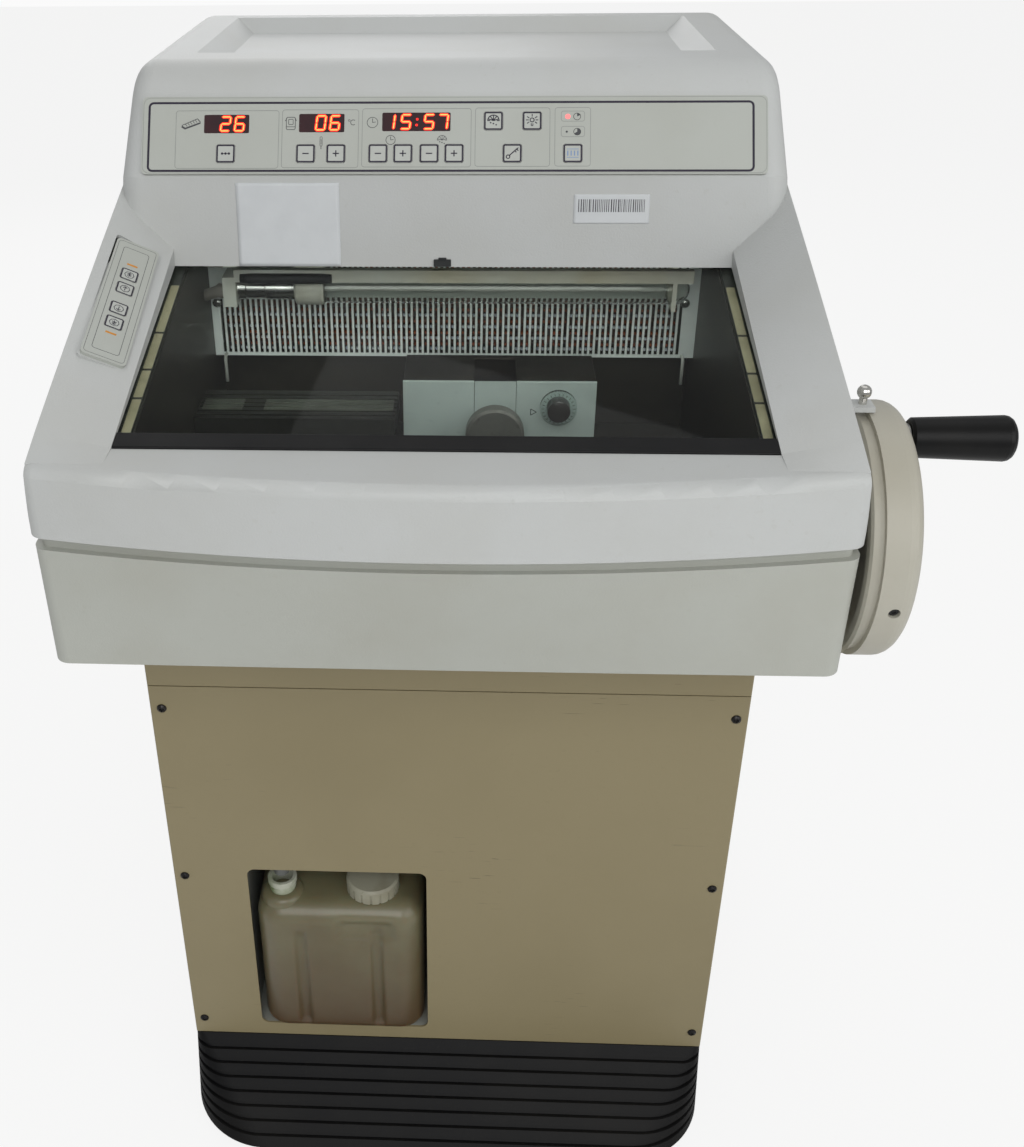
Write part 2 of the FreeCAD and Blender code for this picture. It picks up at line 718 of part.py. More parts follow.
def sloped_block(x0, x1, s0, s1, n0, n1):
    """Block along the window plane: s up the slope from the front edge, n square to it."""
    outline = []
    for s, n in ((s0, n0), (s1, n0), (s1, n1), (s0, n1)):
        y = WINDOW_FRONT_Y + s * math.cos(TILT) - n * math.sin(TILT)
        z = WINDOW_FRONT_Z + s * math.sin(TILT) + n * math.cos(TILT)
        outline.append((y, z))
    return prism_x(outline, x0, x1)


def folded_panel(bottom_z, top_z):
    """Front sheet of the base with its two side edges folded back."""
    sheet = box(-BASE_HALF, BASE_HALF, BASE_FRONT_Y, BASE_FRONT_Y + PANEL_RETURN, bottom_z, top_z)
    outer = edges_where(sheet, lambda e: upright(e) and e.Vertexes[0].Y < BASE_FRONT_Y + 1)
    sheet = sheet.makeFillet(FOLD_R, outer)
    inner = BASE_HALF - SHEET
    return sheet.cut(box(-inner, inner, BASE_FRONT_Y + SHEET, 0, bottom_z - 1, top_z + 1))


def screw_axes():
    return [V(side * SCREW_X, BASE_FRONT_Y, z) for side in (-1, 1) for z in SCREW_ROWS]


# Upper housing


def side_x(z):
    """Half width of the hood's leaning sides at height z."""
    return HOOD_HALF - (z - HOOD_BASE_Z) * HOOD_DRAFT / (HOOD_TOP_Z - HOOD_BASE_Z)


def drafted_block(inset):
    """Front view of the hood: sides that lean in, taller than the hood itself."""
    low_z, high_z = HOOD_BASE_Z - PLAN_MARGIN, HOOD_TOP_Z + PLAN_MARGIN
    low, high = side_x(low_z) - inset, side_x(high_z) - inset
    return prism_y([(-low, low_z), (low, low_z), (high, high_z), (-high, high_z)], -BIG, BIG)


def console_block(inset):
    """Console: steep face, sloping panel and top, with the brow, rear and side edges rounded."""
    rise = (PANEL_TOP_Z - FACE_TOP_Z) / (PANEL_TOP_Y - FACE_TOP_Y)
    brow_y = PANEL_TOP_Y + (HOOD_TOP_Z - PANEL_TOP_Z) / rise
    outline = shrunk_outline([
        (OPENING_REAR_Y, HOOD_BASE_Z), (OPENING_REAR_Y, window_z(OPENING_REAR_Y)),
        (FACE_TOP_Y, FACE_TOP_Z), (brow_y, HOOD_TOP_Z),
        (REAR_Y, HOOD_TOP_Z), (REAR_Y, HOOD_BASE_Z)], inset)
    block = prism_x(outline, -HOOD_HALF - PLAN_MARGIN, HOOD_HALF + PLAN_MARGIN)
    block = block.common(drafted_block(inset))
    top_z = HOOD_TOP_Z - inset

    def along_top(edge):
        return abs(edge.CenterOfMass.z - top_z) < 0.1 and abs(edge.CenterOfMass.x) < 1

    brow = edges_where(block, lambda e: along_top(e) and e.CenterOfMass.y < REAR_Y / 2)
    block = block.makeFillet(CONSOLE_R - inset, brow)
    rear = edges_where(block, lambda e: along_top(e) and e.CenterOfMass.y > REAR_Y / 2)
    block = block.makeFillet(REAR_R - inset, rear)

    def along_side(edge):
        a, b = edge.Vertexes[0].Point, edge.Vertexes[-1].Point
        middle = edge.CenterOfMass
        return (a.x * b.x > 0 and math.hypot(a.y - b.y, a.z - b.z) > 1.0
                and middle.z > outline[1][1] - 1 and middle.y < REAR_Y - inset - 1)

    return block.makeFillet(CONSOLE_CORNER_R - inset, edges_where(block, along_side))


def wing_section(side, y, inset, flat):
    """Cross-section of a wing at y: inner edge low, crest high, run out past the side."""
    inner_z = WING_INNER_Z + (y - OPENING_REAR_Y) * WING_INNER_RISE
    crest_x = WING_CREST_X + (WING_TOP_Y - y) * WING_CREST_SPREAD
    crest_z = WING_CREST_Z + (y - WING_TOP_Y) * WING_CREST_RISE
    if flat:
        inner_z, crest_z = ARMREST_Z, ARMREST_Z
    far_x = HOOD_HALF + PLAN_MARGIN
    slope = (crest_z - inner_z) / (crest_x - OPENING_HALF)
    far_z = inner_z + slope * (far_x - OPENING_HALF) - inset
    near_z = inner_z + slope * inset - inset
    near_x = OPENING_HALF + inset
    points = [V(side * near_x, y, HOOD_BASE_Z), V(side * near_x, y, near_z),
              V(side * far_x, y, far_z), V(side * far_x, y, HOOD_BASE_Z)]
    return Part.makePolygon(points + [points[0]])


def wing(side, inset):
    """Ruled wing surface: a short ramp up from the armrest, then the long facet."""
    foot = wing_section(side, WINDOW_FRONT_Y + inset, inset, False)
    ramp = Part.makeLoft([wing_section(side, WING_START_Y, inset, True), foot], True, True)
    facet = Part.makeLoft([foot, wing_section(side, WING_END_Y, inset, False)], True, True)
    return ramp.fuse(facet)


def plan_block(inset, top_z):
    """Plan of the hood carried up to top_z."""
    outline = bowed_outline(HOOD_HALF - inset, BOW_MID_Y + inset, BOW_CORNER_Y + inset,
                            REAR_Y - inset, HOOD_BASE_Z)
    block = Part.Face(outline).extrude(V(0, 0, top_z - HOOD_BASE_Z))
    if inset:
        block = block.fuse(block.translated(V(0, 0, -PLAN_MARGIN))).removeSplitter()
    return block.makeFillet(PLAN_R - inset * 0.9, edges_where(block, upright))


def tray_block(margin):
    """Sunk shelf on top: a frustum with sloping ends and front."""
    rings = []
    for grow, z in ((0, HOOD_TOP_Z - TRAY_DEPTH - margin), (TRAY_SLOPE, HOOD_TOP_Z + 1)):
        half = TRAY_HALF - TRAY_SLOPE + grow + margin
        y0 = TRAY_FRONT_Y + TRAY_SLOPE - grow - margin
        y1 = TRAY_REAR_Y - TRAY_SLOPE + grow + margin
        rings.append(Part.makePolygon([V(-half, y0, z), V(half, y0, z), V(half, y1, z),
                                       V(-half, y1, z), V(-half, y0, z)]))
    return Part.makeLoft(rings, True, True)


def side_pad_frame():
    """Origin and axes (along, across, outwards) of the side keypad on the left wing."""
    x, y = SIDE_PAD_X, SIDE_PAD_Y
    inner_z = WING_INNER_Z + (y - OPENING_REAR_Y) * WING_INNER_RISE
    crest_x = WING_CREST_X + (WING_TOP_Y - y) * WING_CREST_SPREAD
    crest_z = WING_CREST_Z + (y - WING_TOP_Y) * WING_CREST_RISE
    share = (-x - OPENING_HALF) / (crest_x - OPENING_HALF)
    origin = V(x, y, inner_z + share * (crest_z - inner_z))
    sideways = V(OPENING_HALF - crest_x, 0, crest_z - inner_z).normalize()
    back = V(0, 1, WING_INNER_RISE + share * (WING_CREST_RISE - WING_INNER_RISE))
    out = back.cross(sideways).normalize()
    back = sideways.cross(out).normalize()
    turn = math.radians(SIDE_PAD_TURN)
    along = back * math.cos(turn) + sideways * math.sin(turn)
    return origin, along, along.cross(out).normalize(), out


def side_pad_slab(half_w, half_l, deep, thick, corner):
    origin, along, across, out = side_pad_frame()
    return slab_on(origin, along, across, out, half_w, -half_l, half_l, deep, thick, corner)


def upper_housing():
    """Hollow moulding: armrest, wings and console, with the window opening, tray and lock lug."""
    armrest = plan_block(0, ARMREST_Z)
    brow = edges_where(armrest, lambda e: abs(e.CenterOfMass.z - ARMREST_Z) < 0.1
                       and e.CenterOfMass.y < BOW_CORNER_Y + PLAN_R)
    armrest = armrest.makeFillet(ARMREST_R, brow).common(drafted_block(0))
    armrest = armrest.common(box(-BIG, BIG, -BIG, REAR_Y / 2, 0, BIG))
    limit = drafted_block(0).common(plan_block(0, HOOD_TOP_Z + PLAN_MARGIN))
    console = console_block(0).common(plan_block(0, HOOD_TOP_Z + PLAN_MARGIN))
    wings = [wing(side, 0).common(limit) for side in (-1, 1)]
    half_w, half_l = SIDE_PAD_WIDTH / 2 + SIDE_PAD_RIM, SIDE_PAD_LENGTH / 2 + SIDE_PAD_RIM
    pad = side_pad_slab(half_w, half_l, -HOOD_WALL, SIDE_PAD_LIFT, OVERLAY_R)
    recess = side_pad_slab(half_w, half_l, SIDE_PAD_LIFT, HOOD_WALL * 3, OVERLAY_R)
    lug = box(side_x(LUG_Z) - HOOD_WALL / 2, PLUNGER_X + LUG_HALF,
              PLUNGER_Y - LUG_HALF, PLUNGER_Y + LUG_HALF, LUG_Z, LUG_Z + LUG_THICK)
    outer = armrest.fuse([console] + wings).removeSplitter().fuse([pad, lug]).cut(recess)
    inner = drafted_block(HOOD_WALL).common(plan_block(HOOD_WALL, HOOD_TOP_Z + PLAN_MARGIN))
    below_armrest = below_window(0, BIG, -BIG, REAR_Y).common(
        box(-BIG, BIG, -BIG, BIG, 0, ARMREST_Z - HOOD_WALL))
    below_glass = below_window(0, BIG, -BIG, REAR_Y).common(
        box(-BIG, BIG, WINDOW_FRONT_Y, BIG, 0, HOOD_TOP_Z - HOOD_WALL))
    console_room = console_block(HOOD_WALL).cut(tray_block(HOOD_WALL))
    pieces = [below_glass.common(inner), console_room.common(inner)]
    pieces += [wing(side, WING_WALL).common(inner) for side in (-1, 1)]
    void = below_armrest.common(inner).fuse(pieces).removeSplitter()
    opening = box(-OPENING_HALF, OPENING_HALF, WINDOW_FRONT_Y, OPENING_REAR_Y,
                  HOOD_BASE_Z - 1, HOOD_TOP_Z)
    bore = rod(PLUNGER_R + RUNNING_FIT, V(PLUNGER_X, PLUNGER_Y, LUG_Z - 1),
               V(PLUNGER_X, PLUNGER_Y, LUG_Z + LUG_THICK + 1))
    return outer.cut([void, opening, tray_block(0), bore]).removeSplitter()


# Skirt under the hood


def skirt_block(inset, z0, z1):
    """Skirt solid between two heights: straight front at the bottom, bowed at the top."""
    rings = []
    for z in (z0, z1):
        bow = SKIRT_BOW * (z - SKIRT_BOTTOM_Z) / (HOOD_BASE_Z - GROOVE_HEIGHT - SKIRT_BOTTOM_Z)
        rings.append(bowed_outline(HOOD_HALF - inset, SKIRT_FRONT_Y - max(bow, 1.0) + inset,
                                   SKIRT_FRONT_Y + inset, REAR_Y - inset, z))
    block = Part.makeLoft(rings, True, True)
    return block.makeFillet(PLAN_R - inset, edges_where(block, upright))


def front_skirt():
    """Hollow ring: inward flange below, wall, and a set-back band that the hood stands on."""
    band_z = HOOD_BASE_Z - GROOVE_HEIGHT
    floor_z = SKIRT_BOTTOM_Z + SKIRT_WALL
    shelf_z = band_z - SKIRT_WALL
    outer = skirt_block(0, SKIRT_BOTTOM_Z, band_z).fuse(plan_band(GROOVE_DEPTH, band_z - 1, HOOD_BASE_Z))
    band_in = GROOVE_DEPTH + SKIRT_WALL
    flange_hole = box(-FLANGE_HALF, FLANGE_HALF, FLANGE_FRONT_Y, REAR_Y - FLANGE_REAR,
                      SKIRT_BOTTOM_Z - 1, floor_z + 1)
    room = skirt_block(SKIRT_WALL, floor_z, shelf_z).fuse([
        plan_band(band_in, shelf_z - 1, HOOD_BASE_Z + 1), flange_hole])
    bearing = rod(BEARING_BODY_R, V(0, WHEEL_Y, WHEEL_Z), V(BIG, WHEEL_Y, WHEEL_Z))
    return outer.cut([room, bearing])


def plan_band(inset, z0, z1):
    """Straight-walled slab with the plan outline of the skirt's top."""
    outline = bowed_outline(HOOD_HALF - inset, SKIRT_FRONT_Y - SKIRT_BOW + inset,
                            SKIRT_FRONT_Y + inset, REAR_Y - inset, z0)
    block = Part.Face(outline).extrude(V(0, 0, z1 - z0))
    return block.makeFillet(PLAN_R - inset, edges_where(block, upright))


# Base cabinet


def base_frame():
    """Pan, deck, head strip, four corner posts, and the bosses and forks under the pan."""
    inner = BASE_HALF - SHEET
    front = BASE_FRONT_Y + SHEET
    rear = REAR_Y - SHEET
    pan_z = BASE_BOTTOM_Z - PAN_THICK
    pan = box(-PAN_HALF, PAN_HALF, front + PAN_CLEAR, rear - PAN_CLEAR, pan_z, BASE_BOTTOM_Z)
    deck = box(-inner, inner, front, rear, DECK_Z, DECK_Z + DECK_THICK)
    deck = deck.cut(rod(PIPE_R + SLIDE_CLEAR, V(NECK_X, NECK_Y, 0), V(NECK_X, NECK_Y, BIG)))
    solids = [pan, deck, folded_panel(PANEL_TOP_EDGE_Z + FRAME_CLEAR, SKIRT_BOTTOM_Z)]
    for side in (-1, 1):
        for face_y, inwards in ((front, 1), (rear, -1)):
            outline = [(0, 0), (POST_SIZE, 0), (POST_SIZE, POST_THICK), (POST_THICK, POST_THICK),
                       (POST_THICK, POST_SIZE), (0, POST_SIZE)]
            corner = [(side * (inner - a), face_y + inwards * b) for a, b in outline]
            post = prism_z(corner, BASE_BOTTOM_Z, DECK_Z)
            for start in screw_axes():
                post = post.cut(rod(SCREW_R, start, start + V(0, PANEL_RETURN, 0)))
            solids.append(post)
        solids += castor_fork(side * CASTOR_X, pan_z)
        boss_z = pan_z - FOOT_BOSS
        boss = rod(FOOT_BOSS_R, V(side * FOOT_X, FOOT_Y, boss_z), V(side * FOOT_X, FOOT_Y, pan_z))
        bore = rod(FOOT_STEM_R + RUNNING_FIT, V(side * FOOT_X, FOOT_Y, boss_z - 1),
                   V(side * FOOT_X, FOOT_Y, pan_z - SLIDE_CLEAR))
        solids.append(boss.cut(bore))
    return solids


def castor_fork(x, top_z):
    """Bracket of a rear wheel: a top plate and two cheeks with axle bores."""
    half = WHEEL_WIDTH / 2 + FORK_GAP + FORK_THICK
    gap = half - FORK_THICK
    plate = box(x - half, x + half, CASTOR_Y - FORK_PLATE_HALF, CASTOR_Y + FORK_PLATE_HALF,
                top_z - FORK_THICK, top_z)
    cheeks = box(x - half, x + half, CASTOR_Y - FORK_CHEEK_HALF, CASTOR_Y + FORK_CHEEK_HALF,
                 WHEEL_RADIUS - FORK_CHEEK_HALF, top_z - FORK_THICK)
    cheeks = cheeks.cut([
        box(x - gap, x + gap, 0, BIG, 0, BIG),
        rod(WHEEL_AXLE_R + RUNNING_FIT, V(x - BIG, CASTOR_Y, WHEEL_RADIUS),
            V(x + BIG, CASTOR_Y, WHEEL_RADIUS))])
    return [plate] + cheeks.Solids


def front_panel():
    panel = folded_panel(BASE_BOTTOM_Z, PANEL_TOP_EDGE_Z)
    opening = box(BAY_LEFT_X, BAY_RIGHT_X, BASE_FRONT_Y - 1, BASE_FRONT_Y + SHEET + 1,
                  BAY_BOTTOM_Z, BAY_TOP_Z)
    across = edges_where(opening, lambda e: abs(e.Vertexes[0].Y - e.Vertexes[-1].Y) > 1)
    holes = [rod(SCREW_HOLE_R, start - V(0, 1, 0), start + V(0, SHEET + 1, 0))
             for start in screw_axes()]
    return panel.cut([opening.makeFillet(BAY_CORNER_R, across)] + holes)


def side_panel(side):
    x0, x1 = sorted((side * (BASE_HALF - SHEET), side * BASE_HALF))
    return box(x0, x1, BASE_FRONT_Y + PANEL_RETURN + FRAME_CLEAR, REAR_Y, BASE_BOTTOM_Z,
               SKIRT_BOTTOM_Z)


def rear_panel():
    """Rear sheet with air louvres behind the condenser, and the mains inlet in its cut-out."""
    inner = BASE_HALF - SHEET
    sheet = box(-inner, inner, REAR_Y - SHEET, REAR_Y, BASE_BOTTOM_Z, SKIRT_BOTTOM_Z)
    louvres = []
    for row in range(LOUVRE_ROWS):
        z = CONDENSER_BOTTOM_Z + LOUVRE_PITCH * (row + 1)
        louvres.append(box(CONDENSER_LEFT_X + LOUVRE_PITCH, CONDENSER_RIGHT_X - LOUVRE_PITCH,
                           REAR_Y - SHEET - 1, BIG, z, z + LOUVRE_HEIGHT))
    half_w, half_h = INLET_SIZE[0] / 2, INLET_SIZE[1] / 2
    back_y = REAR_Y - SHEET - INLET_DEPTH
    well = box(INLET_X - half_w, INLET_X + half_w, back_y + INLET_FLANGE, BIG,
               INLET_Z - half_h, INLET_Z + half_h)
    half_w, half_h = half_w + INLET_FLANGE, half_h + INLET_FLANGE
    socket = box(INLET_X - half_w, INLET_X + half_w, back_y, REAR_Y - SHEET,
                 INLET_Z - half_h, INLET_Z + half_h)
    pins = [box(x - INLET_PIN[0] / 2, x + INLET_PIN[0] / 2, back_y + INLET_FLANGE,
                REAR_Y - SHEET - INLET_FLANGE, INLET_Z - INLET_PIN[1] / 2, INLET_Z + INLET_PIN[1] / 2)
            for x in (INLET_X - INLET_PIN_PITCH, INLET_X, INLET_X + INLET_PIN_PITCH)]
    return [sheet.cut(louvres + [well]), join(socket.cut(well), *pins)]


def panel_screws():
    """Round-headed cross screws: head outside, shank through the sheet into the post."""
    screws = []
    for start in screw_axes():
        head = turned([(0, 0), (0, SCREW_HEAD_R), (SCREW_HEAD_H / 2, SCREW_HEAD_R * 0.9),
                       (SCREW_HEAD_H, SCREW_HEAD_R * 0.5), (SCREW_HEAD_H, 0)], start, V(0, -1, 0))
        shank = rod(SCREW_R, start, start + V(0, SCREW_LENGTH, 0))
        reach, half = SCREW_CROSS_REACH, SCREW_CROSS_W / 2
        outer_y = start.y - SCREW_HEAD_H - 1
        inner_y = start.y - SCREW_HEAD_H + SCREW_CROSS_DEPTH
        cross = [box(start.x - a, start.x + a, outer_y, inner_y, start.z - b, start.z + b)
                 for a, b in ((reach, half), (half, reach))]
        screws.append(head.fuse(shank).cut(cross))
    return screws


def plinth_outline(z, inset):
    """Plan of the plinth at height z: rounded front corners that swell towards the floor."""
    share = (BASE_BOTTOM_Z - z) / (BASE_BOTTOM_Z - PLINTH_FOOT_Z)
    front = PLINTH_TOP_Y + share * (PLINTH_FRONT_Y - PLINTH_TOP_Y) + inset
    corner = PLINTH_TOP_R + share * (PLINTH_CORNER_R - PLINTH_TOP_R) - inset
    half = PLINTH_HALF - inset
    rear = REAR_Y
    flat = corner * (1 - math.sqrt(0.5))
    arc_left = Part.Arc(V(-half, front + corner, z), V(flat - half, front + flat, z),
                        V(corner - half, front, z)).toShape()
    arc_right = Part.Arc(V(half - corner, front, z), V(half - flat, front + flat, z),
                         V(half, front + corner, z)).toShape()
    return Part.Wire([
        arc_left, Part.makeLine(V(corner - half, front, z), V(half - corner, front, z)), arc_right,
        Part.makeLine(V(half, front + corner, z), V(half, rear, z)),
        Part.makeLine(V(half, rear, z), V(-half, rear, z)),
        Part.makeLine(V(-half, rear, z), V(-half, front + corner, z))])


def plinth_block(z0, z1, inset):
    return Part.makeLoft([plinth_outline(z0, inset), plinth_outline(z1, inset)], True, True)


def plinth():
    """Ribbed skirting: hollow, open below and behind, with a ledge that carries the pan."""
    body = plinth_block(PLINTH_FOOT_Z, BASE_BOTTOM_Z, 0)
    pitch = (BASE_BOTTOM_Z - PLINTH_FOOT_Z) / PLINTH_RIBS
    grooves = []
    for row in range(1, PLINTH_RIBS):
        z = PLINTH_FOOT_Z + row * pitch - PLINTH_RIB_GAP / 2
        ring = plinth_block(z, z + PLINTH_RIB_GAP, -1).cut(
            plinth_block(z - 1, z + PLINTH_RIB_GAP + 1, PLINTH_RIB_DEPTH))
        grooves.append(ring)
    pan_z = BASE_BOTTOM_Z - PAN_THICK
    ledge_z = pan_z - PLINTH_LEDGE
    ledge_half = PAN_HALF - PLINTH_LEDGE_W
    front = BASE_FRONT_Y + SHEET + PAN_CLEAR
    cavity = plinth_block(PLINTH_FOOT_Z, ledge_z, PLINTH_WALL)
    cavity = cavity.cut(box(-BIG, BIG, REAR_Y - PLINTH_WALL, BIG, -BIG, BIG))
    return body.cut(grooves + [
        cavity,
        box(-ledge_half, ledge_half, REAR_Y - 2 * PLINTH_WALL, BIG, -BIG, ledge_z),
        box(-ledge_half, ledge_half, front + PLINTH_LEDGE_W, REAR_Y - PLINTH_WALL, ledge_z - 1, BIG),
        box(-PAN_HALF, PAN_HALF, front, REAR_Y - SHEET - PAN_CLEAR, pan_z, BIG)])


# Canister bay and drain


def canister_compartment():
    """Open-front box behind the panel, hung on a flange around the opening."""
    left, right = BAY_LEFT_X - BAY_MARGIN, BAY_RIGHT_X + BAY_MARGIN
    top = BAY_TOP_Z + BAY_MARGIN
    front = BASE_FRONT_Y + SHEET
    body = box(left - SHEET, right + SHEET, front, front + BAY_DEPTH + SHEET,
               BAY_BOTTOM_Z - SHEET, top + SHEET)
    rim = box(left - PANEL_RETURN, right + PANEL_RETURN, front, front + SHEET,
              BAY_BOTTOM_Z - PANEL_RETURN, top + PANEL_RETURN)
    room = box(left, right, front - 1, front + BAY_DEPTH, BAY_BOTTOM_Z, top)
    pipe = rod(PIPE_R + SLIDE_CLEAR, V(NECK_X, NECK_Y, top - 1), V(NECK_X, NECK_Y, BIG))
    return body.fuse(rim).cut([room, pipe]).removeSplitter()


def canister():
    """Blow-moulded bottle with rounded edges, a neck under the drain and a sunk hand grip."""
    x0, x1 = CANISTER_LEFT_X, CANISTER_RIGHT_X
    z0, z1 = CANISTER_LOW_Z, CANISTER_HIGH_Z
    wall = CANISTER_WALL
    rear_y = CANISTER_FRONT_Y + CANISTER_DEPTH
    body = box(x0, x1, CANISTER_FRONT_Y, rear_y, z0, z1)
    body = body.makeFillet(CANISTER_R, edges_where(body, upright))
    body = body.makeFillet(CANISTER_EDGE_R, edges_where(
        body, lambda e: min(abs(e.CenterOfMass.z - z0), abs(e.CenterOfMass.z - z1)) < 0.1))
    neck = rod(NECK_R, V(NECK_X, NECK_Y, z1 - 1), V(NECK_X, NECK_Y, z1 + NECK_HEIGHT))
    mouth = rod(NECK_R - wall, V(NECK_X, NECK_Y, z0 + CANISTER_EDGE_R), V(NECK_X, NECK_Y, BIG))
    hollow = box(x0 + wall, x1 - wall, CANISTER_FRONT_Y + wall, rear_y - wall, z0 + wall, z1 - wall)
    hollow = hollow.makeFillet(CANISTER_R - wall, edges_where(hollow, upright))
    hollow = hollow.makeFillet(CANISTER_EDGE_R - wall, edges_where(
        hollow, lambda e: min(abs(e.CenterOfMass.z - z0 - wall), abs(e.CenterOfMass.z - z1 + wall)) < 0.1))
    left, right = GRIP_HOLE_X, GRIP_HOLE_X + GRIP_HOLE_W
    low, high = GRIP_HOLE_Z, GRIP_HOLE_Z + GRIP_HOLE_H
    back = CANISTER_FRONT_Y + GRIP_HOLE_DEPTH
    grip = box(left, right, CANISTER_FRONT_Y - 1, back, low, high)
    lining = box(left - wall, right + wall, CANISTER_FRONT_Y, back + wall, low - wall, high + wall)
    rounded = edges_where(grip, lambda e: abs(e.Vertexes[0].Y - e.Vertexes[-1].Y) > 1)
    grip = grip.makeFillet(BAY_CORNER_R, rounded)
    return body.fuse(neck).removeSplitter().cut([hollow.cut(lining), mouth, grip])


def canister_cap():
    """Screw cap with grip grooves round it."""
    z = CANISTER_HIGH_Z
    cap = turned([(0, 0), (0, CAP_R), (CAP_HEIGHT - CAP_RIB_W, CAP_R),
                  (CAP_HEIGHT, CAP_R - CAP_RIB_W), (CAP_HEIGHT, 0)], V(CAP_X, CAP_Y, z), V(0, 0, 1))
    grips = []
    for index in range(CAP_RIBS):
        notch = box(-CAP_RIB_W / 2, CAP_RIB_W / 2, CAP_R - CAP_RIB_W / 2, CAP_R + 1, -1,
                    CAP_HEIGHT - 2 * CAP_RIB_W)
        notch.rotate(V(0, 0, 0), V(0, 0, 1), 360 * index / CAP_RIBS)
        grips.append(notch.translated(V(CAP_X, CAP_Y, z)))
    return cap.cut(grips)


def drain_pipe():
    """Hose from the chamber's floor down into the mouth of the canister's neck."""
    top_z = TUB_FLOOR_Z - TUB_SHEET
    low_z = CANISTER_HIGH_Z + NECK_HEIGHT + PIPE_GAP
    return turned([(0, PIPE_BORE_R), (0, PIPE_R), (top_z - low_z, PIPE_R),
                   (top_z - low_z, PIPE_BORE_R)], V(NECK_X, NECK_Y, low_z), V(0, 0, 1))


# Insulated chamber


def shaft_line(radius, x0, x1):
    return rod(radius, V(x0, WHEEL_Y, WHEEL_Z), V(x1, WHEEL_Y, WHEEL_Z))


def chamber_liner():
    """Open-topped tub of sheet steel with a rim that follows the window plane."""
    sheet = TUB_SHEET
    reach = sheet + TUB_FLANGE
    outer = box(-TUB_HALF - sheet, TUB_HALF + sheet, TUB_FRONT_Y - sheet, TUB_REAR_Y + sheet,
                TUB_FLOOR_Z - sheet, BIG)
    rim = box(-TUB_HALF - reach, TUB_HALF + reach, TUB_FRONT_Y - reach, TUB_REAR_Y + reach, 0, BIG)
    rim = rim.common(below_window(LINER_DROP, BIG)).cut(below_window(LINER_DROP + sheet, BIG))
    room = box(-TUB_HALF, TUB_HALF, TUB_FRONT_Y, TUB_REAR_Y, TUB_FLOOR_Z, BIG)
    drain = rod(PIPE_BORE_R, V(NECK_X, NECK_Y, 0), V(NECK_X, NECK_Y, BIG))
    tub = outer.common(below_window(LINER_DROP, BIG)).fuse(rim)
    return tub.cut([room, drain, shaft_line(SHAFT_R + SHAFT_ROOM, 0, BIG)]).removeSplitter()


def insulation():
    """Foam under the tub down to the deck, and foam round the tub up to the window plane."""
    split_z = SKIRT_BOTTOM_Z + SKIRT_WALL
    lower = box(-FLANGE_HALF, FLANGE_HALF, FLANGE_FRONT_Y, FOAM_REAR_Y, DECK_Z + DECK_THICK, split_z)
    upper = box(-FOAM_HALF, FOAM_HALF, FOAM_FRONT_Y, FOAM_REAR_Y, split_z, BIG)
    upper = upper.common(below_window(LINER_DROP + TUB_SHEET, BIG))
    tub = box(-TUB_HALF - TUB_SHEET, TUB_HALF + TUB_SHEET, TUB_FRONT_Y - TUB_SHEET,
              TUB_REAR_Y + TUB_SHEET, TUB_FLOOR_Z - TUB_SHEET, BIG)
    pipe = rod(PIPE_R, V(NECK_X, NECK_Y, 0), V(NECK_X, NECK_Y, BIG))
    shaft = [shaft_line(SHAFT_R + SHAFT_ROOM, 0, BIG),
             shaft_line(BEARING_BODY_R, HOOD_HALF - BEARING_DEPTH, BIG)]
    return [lower.cut(pipe), upper.cut([tub, pipe] + shaft)]


def window_guides():
    """Sealing rails at both sides of the pane: a ledge under it and a wall beside it."""
    end_s = (GUIDE_END_Y - WINDOW_FRONT_Y) / math.cos(TILT)
    glass_n = -GLASS_GAP - GLASS_THICK
    rails = []
    for side in (-1, 1):
        inner, edge = side * GUIDE_INNER_X, side * (GLASS_HALF + SLIDE_CLEAR)
        outer = side * GUIDE_OUTER_X
        ledge = sloped_block(min(inner, outer), max(inner, outer), GUIDE_START, end_s,
                             -LINER_DROP, glass_n - SLIDE_CLEAR)
        wall = sloped_block(min(edge, outer), max(edge, outer), GUIDE_START, end_s,
                            glass_n - SLIDE_CLEAR, -GLASS_GAP)
        rails.append(join(ledge, wall))
    return rails


def window_glass():
    return sloped_block(-GLASS_HALF, GLASS_HALF, GLASS_START, GLASS_LENGTH,
                        -GLASS_GAP - GLASS_THICK, -GLASS_GAP)


def window_rail():
    """Black strip along the pane's front edge, the grip that slides the window back."""
    half = OPENING_HALF - RAIL_CLEAR
    rail = sloped_block(-half, half, RAIL_START, RAIL_DEPTH, -GLASS_GAP, RAIL_RISE)
    return rail.makeFillet(RAIL_RISE * 0.6, edges_where(
        rail, lambda e: e.Length > half and e.CenterOfMass.z > window_z(e.CenterOfMass.y) + 1))


def evaporator():
    """Finned cold plate on the rear wall with a run of coil tubes in front of it."""
    pitch = (COMB_LAST_X - COMB_FIRST_X) / (FIN_COUNT - 1)
    root_y = TUB_REAR_Y - FIN_BACK
    tip_y = root_y - FIN_DEPTH
    outline = [(COMB_FIRST_X, TUB_REAR_Y)]
    for index in range(FIN_COUNT):
        x = COMB_FIRST_X + index * pitch
        x0, x1 = max(x - FIN_THICK / 2, COMB_FIRST_X), x + FIN_THICK / 2
        outline += [(x0, root_y), (x0, tip_y), (x1, tip_y), (x1, root_y)]
    outline.append((COMB_LAST_X + FIN_THICK / 2, TUB_REAR_Y))
    block = prism_z(outline, COMB_BOTTOM_Z, COMB_SLOT_TOP_Z + COIL_R)
    rows = [COMB_BOTTOM_Z + COIL_FIRST + COIL_PITCH * row for row in range(COIL_COUNT)]
    tubes = [rod(COIL_R, V(COMB_FIRST_X, tip_y - COIL_R, z), V(COMB_LAST_X, tip_y - COIL_R, z))
             for z in rows]
    return [block] + tubes


